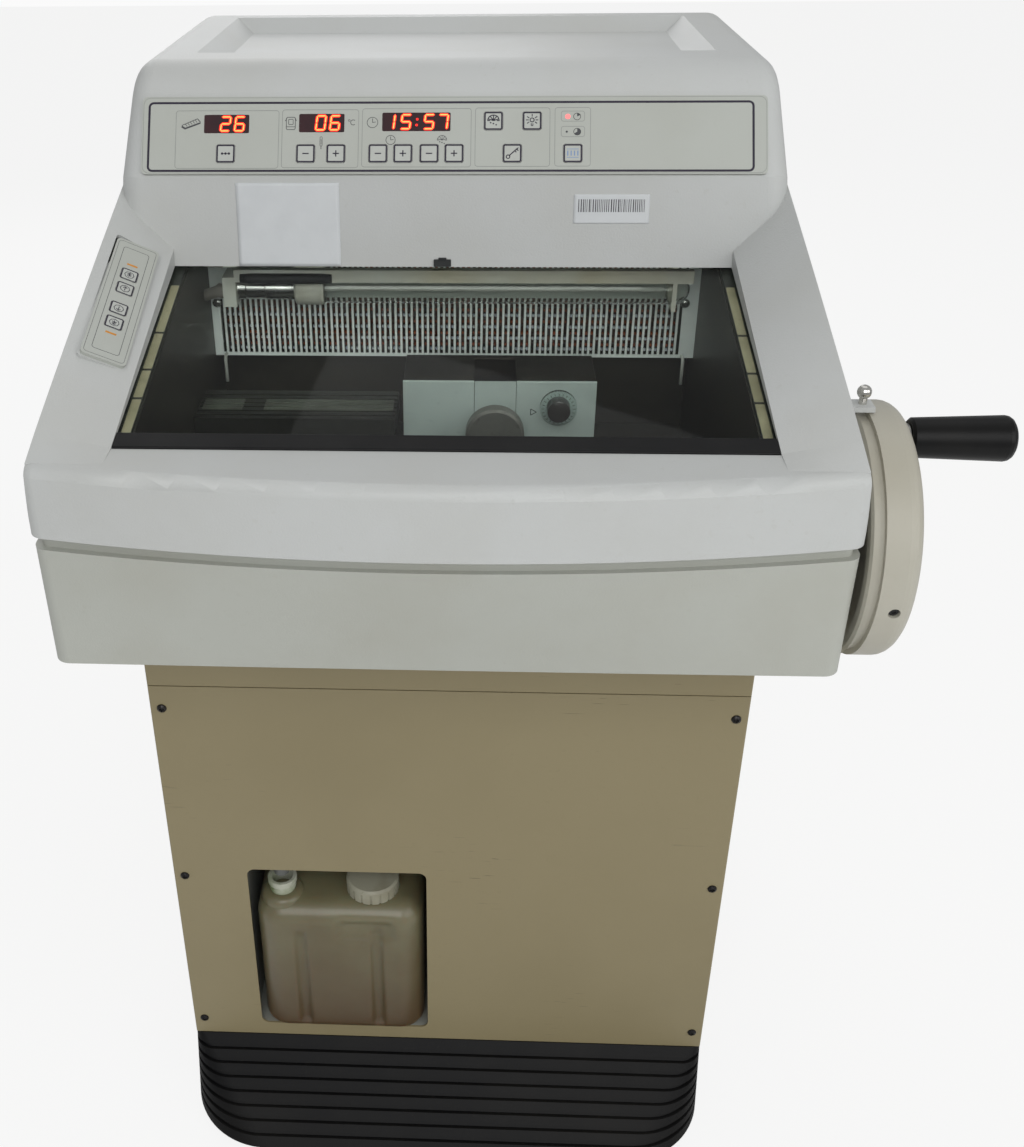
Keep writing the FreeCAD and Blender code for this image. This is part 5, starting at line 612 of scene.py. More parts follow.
# Cold chamber
# The tub is brushed stainless steel, coloured dark as painted shade and painted dark reflections, with darker
# clouds on it. The cooling comb at its back is a slotted bright sheet held by domed screws, with finned
# copper pipes behind it.

# Dark base colour and darker clouds of the steel tub: painted shade and painted dark reflections.
shaded_tub_steel = finish_of("shaded_tub_steel", (58, 54, 46), 0.42, soil=(36, 33, 27), clouds=0.9, specks=0.3,
                      soil_scale=7.0, stretch=(1, 1, 3), Metallic=0.35)
dress("chamber_liner", shaded_tub_steel)
comb_steel = finish_of("comb_steel", (240, 244, 242), 0.4, soil=(206, 212, 208), clouds=0.5,
                       specks=0.25, soil_scale=14.0, grain=0.03, grain_scale=500.0)
dress("evaporator_grille", comb_steel)
coil_copper = finish_of("coil_copper", (96, 58, 48), 0.3, soil=(40, 34, 34), clouds=0.9,
                        specks=0.6, soil_scale=90.0, grain=0.05, grain_scale=300.0, Metallic=0.4)
dress("evaporator", coil_copper)
foam_yellow = finish_of("foam_yellow", (196, 176, 122), 0.85, soil=(170, 146, 92), clouds=0.6,
                        specks=0.4, soil_scale=18.0, grain=0.8, grain_scale=260.0)
dress("insulation", foam_yellow)


def tube_faces(rows, steps):
    """Quads between even rings of points, and a flat face on the first and on the last ring."""
    i = np.arange(steps)
    j = (i + 1) % steps
    walls = [np.column_stack((k * steps + i, k * steps + j, (k + 1) * steps + j, (k + 1) * steps + i))
             for k in range(rows - 1)]
    return np.vstack(walls).tolist() + [i[::-1].tolist(), ((rows - 1) * steps + i).tolist()]


def turned_piece(name, profile, foot, axis, material, body, steps=40):
    """Turned solid: each point of the profile is a distance along the axis and a radius, carried
    round the axis in even steps, with its two ends closed by flat faces."""
    profile = np.array(profile, float)
    axis = np.array(axis, float) / np.linalg.norm(axis)
    side = np.cross(axis, (0.31, 0.95, 0.11) if abs(axis[1]) < 0.9 else (1, 0, 0))
    side /= np.linalg.norm(side)
    turns = np.linspace(0, 2 * np.pi, steps, endpoint=False)
    ray = np.outer(np.cos(turns), side) + np.outer(np.sin(turns), np.cross(axis, side))
    points = (np.array(foot, float) + profile[:, None, None, 0] * axis
              + profile[:, None, None, 1] * ray[None]).reshape(-1, 3)
    piece = add_piece(name, points, tube_faces(len(profile), steps), material, body, True)
    piece.data.set_sharp_from_angle(angle=math.radians(32))
    return piece


def dome(base, radius, height, steps=6):
    """Profile of a domed end: radius times cos(t) at base plus height times sin(t)."""
    turns = np.radians(np.linspace(0, 86, steps))
    return [(base + height * math.sin(t), radius * math.cos(t)) for t in turns]


def bent_rod(name, path, radius, material, body, steps=12):
    """Round rod along a path: a circle carried from point to point, square to the mean of the two
    runs that meet there, with flat ends."""
    path = np.array(path, float)
    runs = np.gradient(path, axis=0)
    runs /= np.linalg.norm(runs, axis=1)[:, None]
    side = np.cross(runs, (0.3, 0.9, 0.31))
    side /= np.linalg.norm(side, axis=1)[:, None]
    turns = np.linspace(0, 2 * np.pi, steps, endpoint=False)
    radii = np.broadcast_to(np.asarray(radius, float), len(path))[:, None, None]
    points = path[:, None] + radii * (np.cos(turns)[None, :, None] * side[:, None]
                                      + np.sin(turns)[None, :, None] * np.cross(runs, side)[:, None])
    return add_piece(name, points.reshape(-1, 3), tube_faces(len(path), steps), material, body, True)


def domes(name, places, radius, height, material, body):
    """Rows of small beads on a wall that faces forwards: on each place stands a dome of three rings,
    radius times cos(t) wide and height times sin(t) deep, all computed at once."""
    n = 8
    turns = np.linspace(0, 2 * np.pi, n, endpoint=False)
    lifts = np.radians((0, 35, 65))
    rings = [np.column_stack((radius * math.cos(t) * np.cos(turns), np.full(n, -height * math.sin(t)),
                              radius * math.cos(t) * np.sin(turns))) for t in lifts]
    bead = np.vstack(rings + [(0, -height, 0)])
    i = np.arange(n)
    j = (i + 1) % n
    quads = np.vstack([np.column_stack((n * k + i, n * k + j, n * k + n + j, n * k + n + i)) for k in (0, 1)])
    caps = np.column_stack((2 * n + i, 2 * n + j, np.full(n, 3 * n)))
    points = (np.array(places, float)[:, None] + bead[None]).reshape(-1, 3)
    steps = len(bead) * np.arange(len(places))[:, None, None]
    faces = ((quads[None] + steps).reshape(-1, 4).tolist() + (caps[None] + steps).reshape(-1, 3).tolist()
             + (i[::-1][None] + steps[:, 0]).tolist())
    return add_piece(name, points, faces, material, body, True)


# Beads on the pipes behind the comb's slots are painted glints: bright copper and white dots that stand for
# light caught on the finned pipes.
COIL_FACE = 64.2
bend_copper_glint = finish_of("bend_copper_glint", (196, 112, 84), 0.25, soil=(122, 60, 50), clouds=0.9,
                        soil_scale=140.0, Metallic=0.5)
white_glint_bead = finish_of("white_glint_bead", (240, 244, 250), 0.3, soil=(176, 186, 214), clouds=0.9,
                       soil_scale=140.0)
COIL_LEFT, COIL_STEP, COIL_COUNT = -216.8, 5.16, 84
BEND_GLINT_ROWS, WHITE_GLINT_ROWS = (786.5, 798.0, 809.5, 821.0), (781.6, 792.4, 803.8, 815.4)
columns = COIL_LEFT + COIL_STEP * np.arange(COIL_COUNT)
domes("coil_bend_glints", [(x, COIL_FACE, z) for k, x in enumerate(columns) for z in BEND_GLINT_ROWS
                     if (k + int(z)) % 3], 2.0, 4.2, bend_copper_glint, "cabinet")
domes("coil_white_glints", [(x, COIL_FACE, z) for k, x in enumerate(columns) for z in WHITE_GLINT_ROWS
                     if (3 * k + int(z)) % 4], 1.5, 3.6, white_glint_bead, "cabinet")
bright_steel = finish_of("bright_steel", (206, 206, 202), 0.24, soil=(150, 148, 142), clouds=0.4,
                         specks=0.3, soil_scale=60.0, grain=0.1, grain_scale=700.0, Metallic=1.0)
COMB_FACE = 56.0
for name, x, z in (("left", -226.0, 829.0), ("right", 219.4, 830.5)):
    turned_piece("comb_screw_" + name, [(0, 4.4), (0.6, 4.4)] + dome(0.6, 4.1, 2.0), (x, COMB_FACE + 0.2, z),
                 (0, -1, 0), bright_steel, "cabinet", 24)
hook_white = finish_of("hook_white", (206, 206, 200), 0.35, soil=(170, 168, 158), clouds=0.5)
HOOK_TOP, HOOK_FOOT, HOOK_BEND = 777.6, 752.0, 4.0
for name, x in (("left", -221.0), ("right", 221.0)):
    path = [(x, COMB_FACE + 0.3, HOOK_TOP)]
    path += [(x, COMB_FACE - HOOK_BEND * (1 + math.sin(t)), HOOK_TOP - HOOK_BEND * (1 - math.cos(t)))
             for t in np.linspace(0, np.pi / 2, 7)]
    path += [(x, COMB_FACE - 2 * HOOK_BEND, HOOK_FOOT)]
    bent_rod("glass_hook_" + name, path, 1.6, hook_white, "cabinet")

# Chamber lamp
# A clear glass tube with a rounded end stands in a white ceramic collar and a bright metal sleeve
# at the left wall, under a bent reflector strip whose polish turns to a brassy tint on the right.
# A short black sleeve sits on the reflector's lip.

LAMP_Y, LAMP_Z, LAMP_LEFT, LAMP_RIGHT, SLEEVE_END, COLLAR_END = 30.0, 853.0, -199.0, 218.0, -145.0, -118.0
reflector = finish_of("reflector", (232, 233, 226), 0.24, soil=(216, 190, 132), clouds=0.9,
                      soil_scale=5.0, stretch=(1, 0.2, 0.2), Metallic=0.2)
dress("lamp_fitting", reflector)
lamp_glass = clear_material("lamp_glass", (246, 247, 245), 0.03, 1.4)
ceramic = finish_of("ceramic", (196, 194, 182), 0.55, soil=(166, 160, 142), clouds=0.5, specks=0.4,
                    soil_scale=40.0, grain=0.3, grain_scale=500.0)
boot_rubber = finish_of("boot_rubber", (140, 134, 128), 0.6, soil=(108, 102, 94), clouds=0.6,
                        soil_scale=40.0, grain=0.5, grain_scale=400.0)
lamp_foot = (LAMP_LEFT, LAMP_Y, LAMP_Z)
sleeve_run, collar_run, tube_run = SLEEVE_END - LAMP_LEFT, COLLAR_END - LAMP_LEFT, LAMP_RIGHT - LAMP_LEFT
lamp_sleeve = turned_piece("lamp_sleeve", [(0, 9.8), (0.8, 10.6), (8, 10.6), (9, 9.6), (26, 9.6), (27, 10.6),
                                           (sleeve_run - 1, 10.6), (sleeve_run, 10.0)],
                           lamp_foot, (1, 0, 0), bright_steel, "cabinet")
lamp_collar = turned_piece("lamp_collar", [(sleeve_run, 13.5), (sleeve_run + 1.5, 15.2),
                                           (collar_run - 1.5, 15.2), (collar_run, 14.2)],
                           lamp_foot, (1, 0, 0), ceramic, "cabinet")
BULB_RADIUS, BORE_RADIUS = 13.8, 12.6
bulb_end = tube_run - BULB_RADIUS
shell = [(collar_run, BULB_RADIUS), (bulb_end, BULB_RADIUS)] + dome(bulb_end, BULB_RADIUS, 13.6)[1:]
inner = dome(bulb_end, BORE_RADIUS, 12.4)[::-1] + [(collar_run + 1, BORE_RADIUS)]
lamp_bulb = turned_piece("lamp_bulb", shell + inner, lamp_foot, (1, 0, 0), lamp_glass, "cabinet",
                         48)
# A thin white rod along the tube's axis is a painted highlight: it stands for the bright line reflected along
# the glass tube.
lamp_highlight_rod = turned_piece("lamp_highlight_rod", [(sleeve_run + 4, 2.6), (tube_run - 26, 2.6), (tube_run - 24, 1.6)],
                         lamp_foot, (1, 0, 0), hook_white, "cabinet", 16)
for piece in (lamp_sleeve, lamp_collar, lamp_bulb, lamp_highlight_rod):
    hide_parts("lamp_tube")
reach = np.linspace(0, 1, 12)
BOOT_RUN, BOOT_BACK, BOOT_DROP, BOOT_RADIUS = 34.6, 4, 9, 5.4
boot_path = np.column_stack((LAMP_LEFT + 2 - BOOT_RUN * reach, LAMP_Y + BOOT_BACK * reach ** 2,
                             LAMP_Z - BOOT_DROP * reach ** 1.6))
boot_rings = 2.6 * np.exp(-((reach - 0.12) / 0.1) ** 2) + 1.8 * np.exp(-((reach - 0.55) / 0.07) ** 2)
bent_rod("lamp_boot", boot_path, BOOT_RADIUS + boot_rings, boot_rubber, "cabinet", 18)
LIP_LEFT, LIP_RIGHT, LIP_Y, LIP_Z, LIP_RADIUS = -193.0, -109.0, 11.0, 868.0, 4.8
lip_path = [(x, LIP_Y, LIP_Z) for x in np.linspace(LIP_LEFT, LIP_RIGHT, 10)]
bent_rod("lip_sleeve", lip_path, LIP_RADIUS - 0.8 * np.abs(np.linspace(-1, 1, 10)) ** 9, rail_black,
         "cabinet", 18)

# Microtome
# The casting's parts in front of the tower stay, and a shallower tower with a painted plate stands
# for the rest. Its slide carries the specimen disc, and a clear rimmed knob sets the thickness. The
# knife holder with its guard plate stands before it.

microtome_paint = finish_of("microtome_paint", (178, 188, 184), 0.4, soil=(150, 158, 153),
                            clouds=0.6, specks=0.3, soil_scale=16.0, grain=0.05, grain_scale=700.0)


def bevelled(name, outline, low_z, high_z, bevel, material, body):
    """Plan outline raised between two heights, with its sharp edges rounded by a narrow bevel."""
    outline = np.array(outline, float)
    n = len(outline)
    points = np.vstack([np.column_stack((outline, np.full(n, z))) for z in (low_z, high_z)])
    piece = add_piece(name, points, tube_faces(2, n), material, body, True)
    rounding = piece.modifiers.new("edge", "BEVEL")
    rounding.width, rounding.segments, rounding.limit_method = bevel / 1000, 3, "ANGLE"
    rounding.harden_normals = True
    return piece


TOWER_LEFT, TOWER_RIGHT, TOWER_FRONT_Y, TOWER_REAR_Y, TOWER_TOP = -39.0, 126.0, -100.0, -36.0, 815.0
SLOT_LEFT, SLOT_RIGHT, SLOT_BACK, SLOT_FLOOR, SHUTTER_FOOT, PLATE = 22.0, 58.0, -44.0, 724.0, 757.0, 3.0
FOOT_REAR_Y, FOOT_HEIGHT, TOWER_BEVEL, PLATE_BEVEL = 40.0, 46.0, 0.8, 0.6
tub_floor = (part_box("microtome_body")[0].z - ORIGIN[2]) * 1000
burnished = finish_of("burnished_steel", (66, 60, 54), 0.22, soil=(40, 36, 32), clouds=0.8, specks=0.2,
                      soil_scale=12.0, Metallic=0.8)
core_front = TOWER_FRONT_Y + PLATE
core_plan = [(TOWER_LEFT, core_front), (SLOT_LEFT, core_front), (SLOT_LEFT, SLOT_BACK),
             (SLOT_RIGHT, SLOT_BACK), (SLOT_RIGHT, core_front), (TOWER_RIGHT, core_front),
             (TOWER_RIGHT, TOWER_REAR_Y), (TOWER_LEFT, TOWER_REAR_Y)]
foot_plan = [(TOWER_LEFT, TOWER_REAR_Y), (TOWER_RIGHT, TOWER_REAR_Y), (TOWER_RIGHT, FOOT_REAR_Y),
             (TOWER_LEFT, FOOT_REAR_Y)]
plate_front = [(TOWER_LEFT, tub_floor), (TOWER_RIGHT, tub_floor), (TOWER_RIGHT, TOWER_TOP),
               (SLOT_RIGHT, TOWER_TOP), (SLOT_RIGHT, SLOT_FLOOR), (SLOT_LEFT, SLOT_FLOOR),
               (SLOT_LEFT, TOWER_TOP), (TOWER_LEFT, TOWER_TOP)]
tower_core = bevelled("tower_core", core_plan, tub_floor, TOWER_TOP - 1.0, TOWER_BEVEL, burnished, "cabinet")
tower_foot = bevelled("tower_foot", foot_plan, tub_floor, tub_floor + FOOT_HEIGHT, TOWER_BEVEL, burnished,
                      "cabinet")
FRONT_PLANE = plane_of((0, core_front, 0), (1, 0, 0), (0, -1, 0))
tower_plate = printed("tower_plate", [patch(plate_front)], FRONT_PLANE, 0.0, PLATE, microtome_paint)
plate_edge = tower_plate.modifiers.new("edge", "BEVEL")
plate_edge.width, plate_edge.segments, plate_edge.limit_method = PLATE_BEVEL / 1000, 2, "ANGLE"
shutter = rounded_outline(SLOT_LEFT + 0.4, SHUTTER_FOOT, SLOT_RIGHT - 0.4, TOWER_TOP - 0.2, 0.6)
printed("slot_shutter", [patch(shutter)], FRONT_PLANE, 1.3, PLATE - 0.1, microtome_paint,
        "specimen_carriage")
castings = bmesh.new()
castings.from_mesh(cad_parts["microtome_body"].data)
bmesh.ops.remove_doubles(castings, verts=castings.verts, dist=1e-6)
tower_front = ORIGIN[1] + (TOWER_FRONT_Y + 0.5) / 1000
castings.verts.ensure_lookup_table()
waiting, tower_points = set(castings.verts), []
while waiting:
    solid_points, edge_points = set(), [waiting.pop()]
    while edge_points:
        point = edge_points.pop()
        solid_points.add(point)
        near = {edge.other_vert(point) for edge in point.link_edges} & waiting
        waiting -= near
        edge_points.extend(near)
    if max(point.co.y for point in solid_points) > tower_front:
        tower_points += list(solid_points)
bmesh.ops.delete(castings, geom=tower_points, context="VERTS")
casting_mesh = bpy.data.meshes.new("microtome_castings")
castings.to_mesh(casting_mesh)
castings.free()
casting_mesh.materials.clear()
casting_mesh.materials.append(microtome_paint)
microtome_castings = bpy.data.objects.new("microtome_castings", casting_mesh)
bpy.context.collection.objects.link(microtome_castings)
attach(microtome_castings, "cabinet")
for piece in (tower_core, tower_foot, tower_plate, microtome_castings):
    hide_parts("microtome_body")
dress("specimen_slide", finish_of("slide_steel", (120, 122, 118), 0.3, soil=(92, 92, 86), clouds=0.5,
                                  soil_scale=30.0, grain=0.03, grain_scale=400.0, Metallic=0.9))
dress("specimen_head", finish_of("disc_steel", (122, 120, 114), 0.42, soil=(84, 80, 72), clouds=0.7,
                                 specks=0.4, soil_scale=24.0, Metallic=0.6))
dress("knife_holder", finish_of("holder_metal", (150, 152, 148), 0.34, soil=(112, 112, 106), clouds=0.5,
                                specks=0.3, soil_scale=20.0, Metallic=0.8))
dress("blade", finish_of("blade_steel", (214, 216, 218), 0.14, soil=(176, 178, 180), clouds=0.3,
                         soil_scale=50.0, stretch=(0.1, 1, 1), Metallic=1.0))
dress("anti_roll_plate", clear_material("guard_clear", (222, 232, 234), 0.05, 1.38))
dress("freeze_shelf", finish_of("shelf_metal", (62, 62, 54), 0.4, soil=(38, 37, 32), clouds=0.8,
                                specks=0.3, soil_scale=18.0, stretch=(0.3, 1, 1), grain=0.05,
                                grain_scale=400.0, Metallic=0.5))
TOWER_FRONT = plane_of((0, TOWER_FRONT_Y, 0), (1, 0, 0), (0, -1, 0))
engraved_ink = finish_of("engraved_ink", (34, 38, 38), 0.5, soil=(84, 88, 84), clouds=0.4)
INDEX_TOP, INDEX_FOOT, INDEX_TIP, INDEX_LINE = (70.6, 790.2), (70.6, 784.4), (75.6, 787.3), 0.7
printed("thickness_index", [bar(*start, *end, INDEX_LINE) for start, end in (
    (INDEX_TOP, INDEX_FOOT), (INDEX_TOP, INDEX_TIP), (INDEX_FOOT, INDEX_TIP))],
        TOWER_FRONT, -0.05, 0.08, engraved_ink)
dial_mid = box_middle("thickness_dial")
dial_front = (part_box("thickness_dial")[0].y - ORIGIN[1]) * 1000
KNOB_DEPTH, MARKS_IN, MARKS_OUT = 8.0, 12.2, 14.2
rim_foot = (dial_mid[0], dial_front + KNOB_DEPTH, dial_mid[2])
knob_foot = (dial_mid[0], dial_front, dial_mid[2])
dial_black = finish_of("dial_black", (30, 25, 22), 0.35, soil=(50, 43, 38), clouds=0.4,
                       soil_scale=40.0)
dial_clear = clear_material("dial_clear", (244, 248, 247), 0.12, 1.45)
rim_profile = [(0, 10.4), (0, 14.6), (1.2, 15.8), (4.6, 15.8), (5.6, 14.8), (5.6, 10.4)]
dial_rim = turned_piece("dial_rim", rim_profile, rim_foot, (0, 1, 0), dial_clear, "dial", 48)
dial_knob = turned_piece("dial_knob", [(0.3, 7.4), (1.3, 9.6), (13.6, 9.9), (14.1, 9.9)],
                         knob_foot, (0, 1, 0), dial_black, "dial", 40)
mark_lines = [bar(MARKS_IN * math.cos(t), MARKS_IN * math.sin(t), MARKS_OUT * math.cos(t),
                  MARKS_OUT * math.sin(t), 0.5) for t in np.radians(np.arange(0, 360, 15))]
dial_marks = printed("dial_marks", mark_lines, plane_of(rim_foot, (1, 0, 0), (0, -1, 0)), -0.02, 0.08,
                     engraved_ink, "dial")
for piece in (dial_rim, dial_knob, dial_marks):
    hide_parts("thickness_dial")
rib_metal = finish_of("rib_metal", (124, 128, 116), 0.4, soil=(84, 84, 72), clouds=0.7, specks=0.3,
                      soil_scale=30.0, grain=0.05, grain_scale=400.0, Metallic=0.5)
SHELF_TOP, RIB_WIDTH = plane_of((0, 0, 762), (1, 0, 0), (0, 0, 1)), 4.0
printed("shelf_ribs", [patch(rounded_outline(x0, y, x1, y + RIB_WIDTH, 1.2)) for y in (-43, -37, -31, -25)
                       for x0, x1 in ((-228, -191), (-171, -52))],
        SHELF_TOP, -0.5, 1.2, rib_metal)

# Handwheel
# A cast wheel with a deep rounded rim, in warm white paint, turns on a steel shaft in a flanged
# bearing. A loose black grip spins on its axle, and a sprung pin with a chrome ball locks the rim.

wheel_cast = finish_of("wheel_cast", (175, 172, 159), 0.38, soil=(158, 152, 134), clouds=0.4,
                       specks=0.12, soil_scale=8.0, grain=0.2, grain_scale=500.0)
dress("handwheel", wheel_cast)
dress("handle_grip", finish_of("grip_black", (9, 9, 9), 0.36, soil=(22, 21, 19), clouds=0.5, specks=0.3,
                               soil_scale=30.0, grain=0.08, grain_scale=500.0, Specular_IOR_Level=0.22))
shaft_steel = finish_of("shaft_steel", (170, 170, 166), 0.3, soil=(120, 118, 110), clouds=0.5,
                        soil_scale=30.0, stretch=(0.2, 1, 1), grain=0.1, grain_scale=300.0, Metallic=1.0)
for node in ("drive_shaft", "handle_axle"):
    dress(node, shaft_steel)
dress("shaft_bearing", finish_of("bearing_metal", (112, 112, 108), 0.45, soil=(84, 82, 76), clouds=0.6,
                                 specks=0.3, soil_scale=20.0, grain=0.4, grain_scale=300.0, Metallic=0.7))
dress("lock_knob", finish_of("knob_chrome", (214, 212, 206), 0.12, soil=(180, 176, 168), clouds=0.3,
                             soil_scale=90.0, Metallic=1.0))
hole_black = finish_of("hole_black", (14, 14, 15), 0.5, soil=(30, 30, 30), clouds=0.4)
wheel_mid = box_middle("handwheel")
SCREW_FOOT_RADIUS, HOLE_X, HOLE_TURN = 98.1, 334.0, math.radians(100)
hole_way = np.array((0, -math.sin(HOLE_TURN), math.cos(HOLE_TURN)))
hole_foot = np.array((HOLE_X, wheel_mid[1], wheel_mid[2])) + SCREW_FOOT_RADIUS * hole_way
turned_piece("rim_screw", [(0, 3.9), (0.5, 4.1), (1.2, 3.6), (1.3, 1.8), (0.5, 1.7)], hole_foot, hole_way,
             hole_black, "crank", 24)

# Base
# Folded steel sheet in beige powder coat, screwed to a frame, on a black ribbed plinth. The sheets
# carry the scuffs and hair scratches of a machine that stands where people walk.


def second_colour(material, colour, factor):
    """Lays a second colour over the soiled colour of a finish, by the factor."""
    nodes, links = material.node_tree.nodes, material.node_tree.links
    dirt = next(node for node in nodes if node.type == "GROUP" and node.node_tree == SOILING)
    mix = add_node(nodes, "Mix")
    mix.data_type = "RGBA"
    mix.inputs["B"].default_value = paint(*colour)
    links.new(factor, mix.inputs["Factor"])
    wire(links, (dirt, "Color", mix, "A"), (mix, "Result", nodes["Principled BSDF"], "Base Color"))


def scuffed_coat(name, colour, worn, bare):
    """Powder coat: soft soiling, plus hair scratches where a long, turned and stretched noise
    passes a high limit inside a few broad cloudy zones."""
    material = finish_of(name, colour, 0.42, soil=worn, clouds=0.35, specks=0.15, soil_scale=4.0,
                         grain=0.15, grain_scale=500.0)
    nodes, links = material.node_tree.nodes, material.node_tree.links
    place, both = add_node(nodes, "TexCoord"), add_node(nodes, "Math")
    turned = add_node(nodes, "Mapping", Rotation=(0.35, math.radians(33), 0.2), Scale=(16.0, 16.0, 260.0))
    hairs = add_node(nodes, "TexNoise", Scale=2.2, Detail=1.0)
    zones = add_node(nodes, "TexNoise", Scale=6.0, Detail=2.0)
    both.operation = "MULTIPLY"
    wire(links, (place, "Object", turned, "Vector"), (turned, "Vector", hairs, "Vector"),
         (place, "Object", zones, "Vector"))
    for side, noise, low, high in ((0, hairs, 0.72, 0.76), (1, zones, 0.58, 0.70)):
        limit = add_node(nodes, "MapRange", From_Min=low, From_Max=high)
        wire(links, (noise, "Fac", limit, "Value"), (limit, 0, both, side))
    second_colour(material, bare, both.outputs[0])
    return material


beige_coat = scuffed_coat("beige_coat", (137, 126, 95), (119, 108, 77), (104, 93, 69))
for node in ("front_panel", "side_panel_left", "side_panel_right", "rear_panel", "base_frame"):
    dress(node, beige_coat)
plinth_rubber = finish_of("plinth_rubber", (6, 6, 7), 0.55, soil=(22, 21, 19), clouds=0.6,
                          specks=0.5, soil_scale=10.0, grain=0.3, grain_scale=350.0, Specular_IOR_Level=0.2)
dress("plinth", plinth_rubber)
screw_black = finish_of("screw_black", (30, 29, 30), 0.3, soil=(66, 62, 58), clouds=0.4,
                        soil_scale=200.0, Metallic=0.6)
dress("panel_screws", screw_black)

# Waste canister
# A blow-moulded jerrican of milky plastic with two rounded channels down its front, a sunk hand
# hold and a brown tide of old waste at its foot. A white ringed neck takes the drain pipe.

dress("canister_compartment", finish_of("bay_sheet", (150, 154, 148), 0.45, soil=(112, 96, 70), clouds=0.7,
                                        specks=0.3, soil_scale=8.0, grain=0.2, grain_scale=400.0))
dress("drain_pipe", finish_of("pipe_plastic", (96, 98, 96), 0.4, soil=(70, 68, 60), clouds=0.5,
                              soil_scale=30.0, grain=0.2, grain_scale=300.0))

TIDE_TOP, TIDE_FOOT, TIDE_WAVE = 0.30, 0.13, 0.07


def milky_plastic(name):
    """Milky plastic whose colour goes from clear at the top to brown at the foot, with a wavy tide."""
    material = finish_of(name, (111, 106, 80), 0.36, soil=(92, 82, 56), clouds=0.6, specks=0.2,
                         soil_scale=14.0, grain=0.25, grain_scale=220.0, Subsurface_Weight=0.25,
                         Subsurface_Scale=0.02, Coat_Weight=0.15)
    nodes, links = material.node_tree.nodes, material.node_tree.links
    place, split = add_node(nodes, "TexCoord"), add_node(nodes, "SeparateXYZ")
    wave, height = add_node(nodes, "TexNoise", Scale=18.0), add_node(nodes, "Math")
    height.operation = "MULTIPLY_ADD"
    height.inputs[1].default_value = TIDE_WAVE
    tide = add_node(nodes, "MapRange", From_Min=TIDE_TOP, From_Max=TIDE_FOOT)
    wire(links, (place, "Object", split, 0), (place, "Object", wave, "Vector"), (wave, "Fac", height, 0),
         (split, "Z", height, 2), (height, 0, tide, "Value"))
    second_colour(material, (78, 58, 36), tide.outputs[0])
    return material


can_low_mm, can_high_mm = ((np.array(end) - ORIGIN) * 1000 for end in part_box("canister"))
CAN_TOP, CAN_CORNER, CAN_FOOT_ROUND, CAN_SHOULDER = can_high_mm[2] - 20.0, 27.0, 11.0, 22.0
CHANNELS, CHANNEL_DEPTH, CHANNEL_WIDTH, BELLY = (-149.0, -71.0), 4.2, 6.0, 1.6
HOLD_X, HOLD_Z, HOLD_HALF, HOLD_RISE, HOLD_DEPTH = -82.0, 248.5, 28.0, 12.0, 6.0
CAN_COLUMNS, CAN_ROWS = 260, 60


def canister_shell():
    """Rounded rectangle outline, drawn in by a quarter circle at the foot and at the shoulder. On
    the front face each channel sinks by depth times exp(-(distance / width) ^ 4), the hand hold sinks
    by its depth times two smooth steps, and foot and top stand back a little from the belly."""
    x0, y0, x1, y1 = can_low_mm[0], can_low_mm[1], can_high_mm[0], can_high_mm[1]
    dense = rounded_outline(x0, y0, x1, y1, CAN_CORNER, 24)
    dense = np.vstack((dense, dense[:1]))
    run = np.concatenate(([0], np.cumsum(np.linalg.norm(np.diff(dense, axis=0), axis=1))))
    even = np.linspace(0, run[-1], CAN_COLUMNS, endpoint=False)
    outline = np.column_stack((np.interp(even, run, dense[:, 0]), np.interp(even, run, dense[:, 1])))
    heading = np.roll(outline, -1, axis=0) - np.roll(outline, 1, axis=0)
    normal = np.column_stack((heading[:, 1], -heading[:, 0])) / np.linalg.norm(heading, axis=1)[:, None]
    foot, top = can_low_mm[2], CAN_TOP
    low_z = foot + CAN_FOOT_ROUND * (1 - np.cos(np.radians(np.linspace(0, 90, 9))))
    high_z = top - CAN_SHOULDER * (1 - np.sin(np.radians(np.linspace(0, 90, 11))))
    levels = np.concatenate((low_z, np.linspace(low_z[-1], high_z[0], CAN_ROWS)[1:-1], high_z))
    below = np.clip((foot + CAN_FOOT_ROUND - levels) / CAN_FOOT_ROUND, 0, 1)
    above = np.clip((levels - top + CAN_SHOULDER) / CAN_SHOULDER, 0, 1)
    inset = (CAN_FOOT_ROUND * (1 - np.sqrt(1 - below ** 2)) + CAN_SHOULDER * (1 - np.sqrt(1 - above ** 2)))
    ring = outline[None] - inset[:, None, None] * normal[None]
    points = np.dstack((ring, np.repeat(levels[:, None], len(outline), axis=1)))
    front = np.clip(-normal[:, 1], 0, 1)[None] ** 2
    x, z = points[..., 0], points[..., 2]
    fade = 1 / (1 + np.exp((z - top + 34) / 4)) / (1 + np.exp((foot + 9 - z) / 2))
    for middle in CHANNELS:
        points[..., 1] += CHANNEL_DEPTH * front * fade * np.exp(-((x - middle) / CHANNEL_WIDTH) ** 4)
    across = 1 / (1 + np.exp((np.abs(x - HOLD_X) - HOLD_HALF) / 2.6))
    upward = 1 / (1 + np.exp((np.abs(z - HOLD_Z) - HOLD_RISE) / 2.2))
    points[..., 1] += HOLD_DEPTH * front * across * upward
    points[..., 1] += BELLY * front * (np.sin((z - foot) / (top - foot) * np.pi) - 1) ** 2
    return points


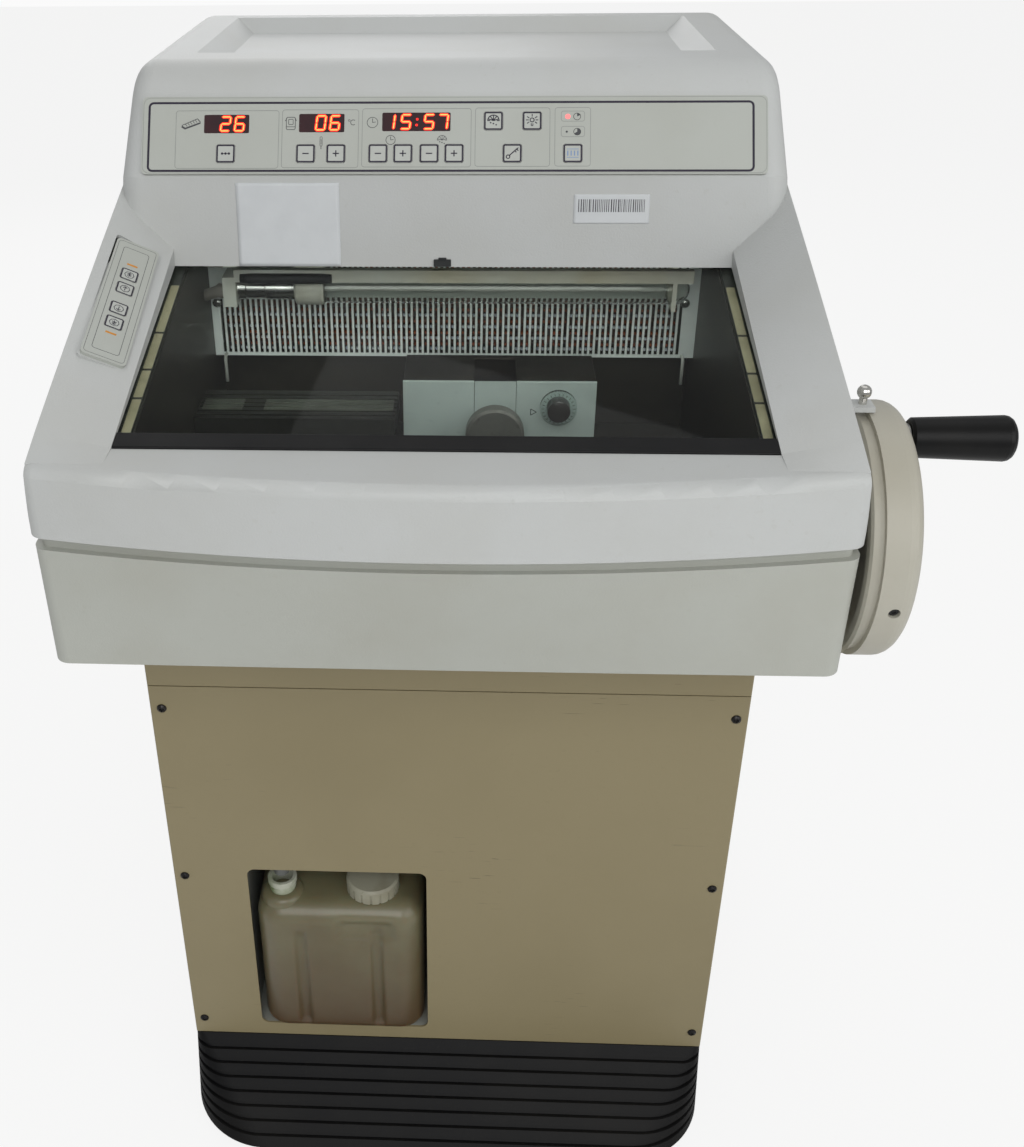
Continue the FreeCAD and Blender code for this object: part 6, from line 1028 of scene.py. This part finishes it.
shell_points = canister_shell()
can_milky = milky_plastic("canister_milky")
can_body = add_piece("canister_body", shell_points.reshape(-1, 3), tube_faces(*shell_points.shape[:2]),
                     can_milky, "waste_canister", True)
neck_white = finish_of("neck_white", (172, 174, 158), 0.45, soil=(92, 112, 52), clouds=0.9, specks=0.5,
                       soil_scale=38.0, grain=0.3, grain_scale=300.0)
NECK = (-168.0, -158.0)
neck_rise = can_high_mm[2] - CAN_TOP
boss_profile = [(-12, 22.4), (-3, 22.0), (0.5, 21.0), (2.6, 19.0), (3.8, 16.6), (4.2, 14.0)]
neck_profile = [(-6, 14.6), (1.5, 14.9), (3.0, 14.2), (4.2, 12.8), (6.0, 12.4), (7.0, 13.6), (8.4, 13.6),
                (9.4, 12.4), (12.6, 12.4), (13.6, 14.8), (neck_rise - 0.8, 14.9), (neck_rise, 14.2),
                (neck_rise, 11.2), (neck_rise - 1, 10.6), (3, 10.4), (2, 4.0)]
can_boss = turned_piece("canister_boss", boss_profile, (*NECK, CAN_TOP), (0, 0, 1), can_milky,
                        "waste_canister", 48)
can_neck = turned_piece("canister_neck", neck_profile, (*NECK, CAN_TOP), (0, 0, 1), neck_white,
                        "waste_canister", 48)
for piece in (can_body, can_boss, can_neck):
    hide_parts("canister")
dress("canister_cap", finish_of("cap_white", (150, 148, 130), 0.45, soil=(118, 112, 90), clouds=0.7,
                                specks=0.4, soil_scale=30.0, grain=0.3, grain_scale=300.0))

# Refrigeration, feet and wheels
# A black compressor, a finned condenser and its fan stand in the base behind the vents. The base
# rolls on two grey rear wheels and is set level by two black screw feet.

dress("compressor", finish_of("compressor_black", (30, 30, 32), 0.35, soil=(62, 60, 56), clouds=0.6,
                              specks=0.3, soil_scale=12.0, grain=0.3, grain_scale=300.0))
dress("condenser", finish_of("condenser_metal", (120, 120, 116), 0.45, soil=(80, 76, 68), clouds=0.7,
                             specks=0.5, soil_scale=14.0, grain=0.3, grain_scale=300.0, Metallic=0.8))
dress("fan_rotor", finish_of("fan_black", (34, 34, 35), 0.4, soil=(70, 66, 60), clouds=0.6,
                             soil_scale=20.0, grain=0.2, grain_scale=300.0))
wheel_grey = finish_of("wheel_grey", (88, 88, 86), 0.55, soil=(60, 58, 54), clouds=0.7, specks=0.4,
                       soil_scale=30.0, grain=0.4, grain_scale=300.0)
foot_black = finish_of("foot_black", (32, 32, 33), 0.45, soil=(70, 66, 60), clouds=0.6, specks=0.3,
                       soil_scale=30.0, grain=0.3, grain_scale=300.0)
for side in ("left", "right"):
    dress("rear_wheel_" + side, wheel_grey)
    dress("front_foot_" + side, foot_black)
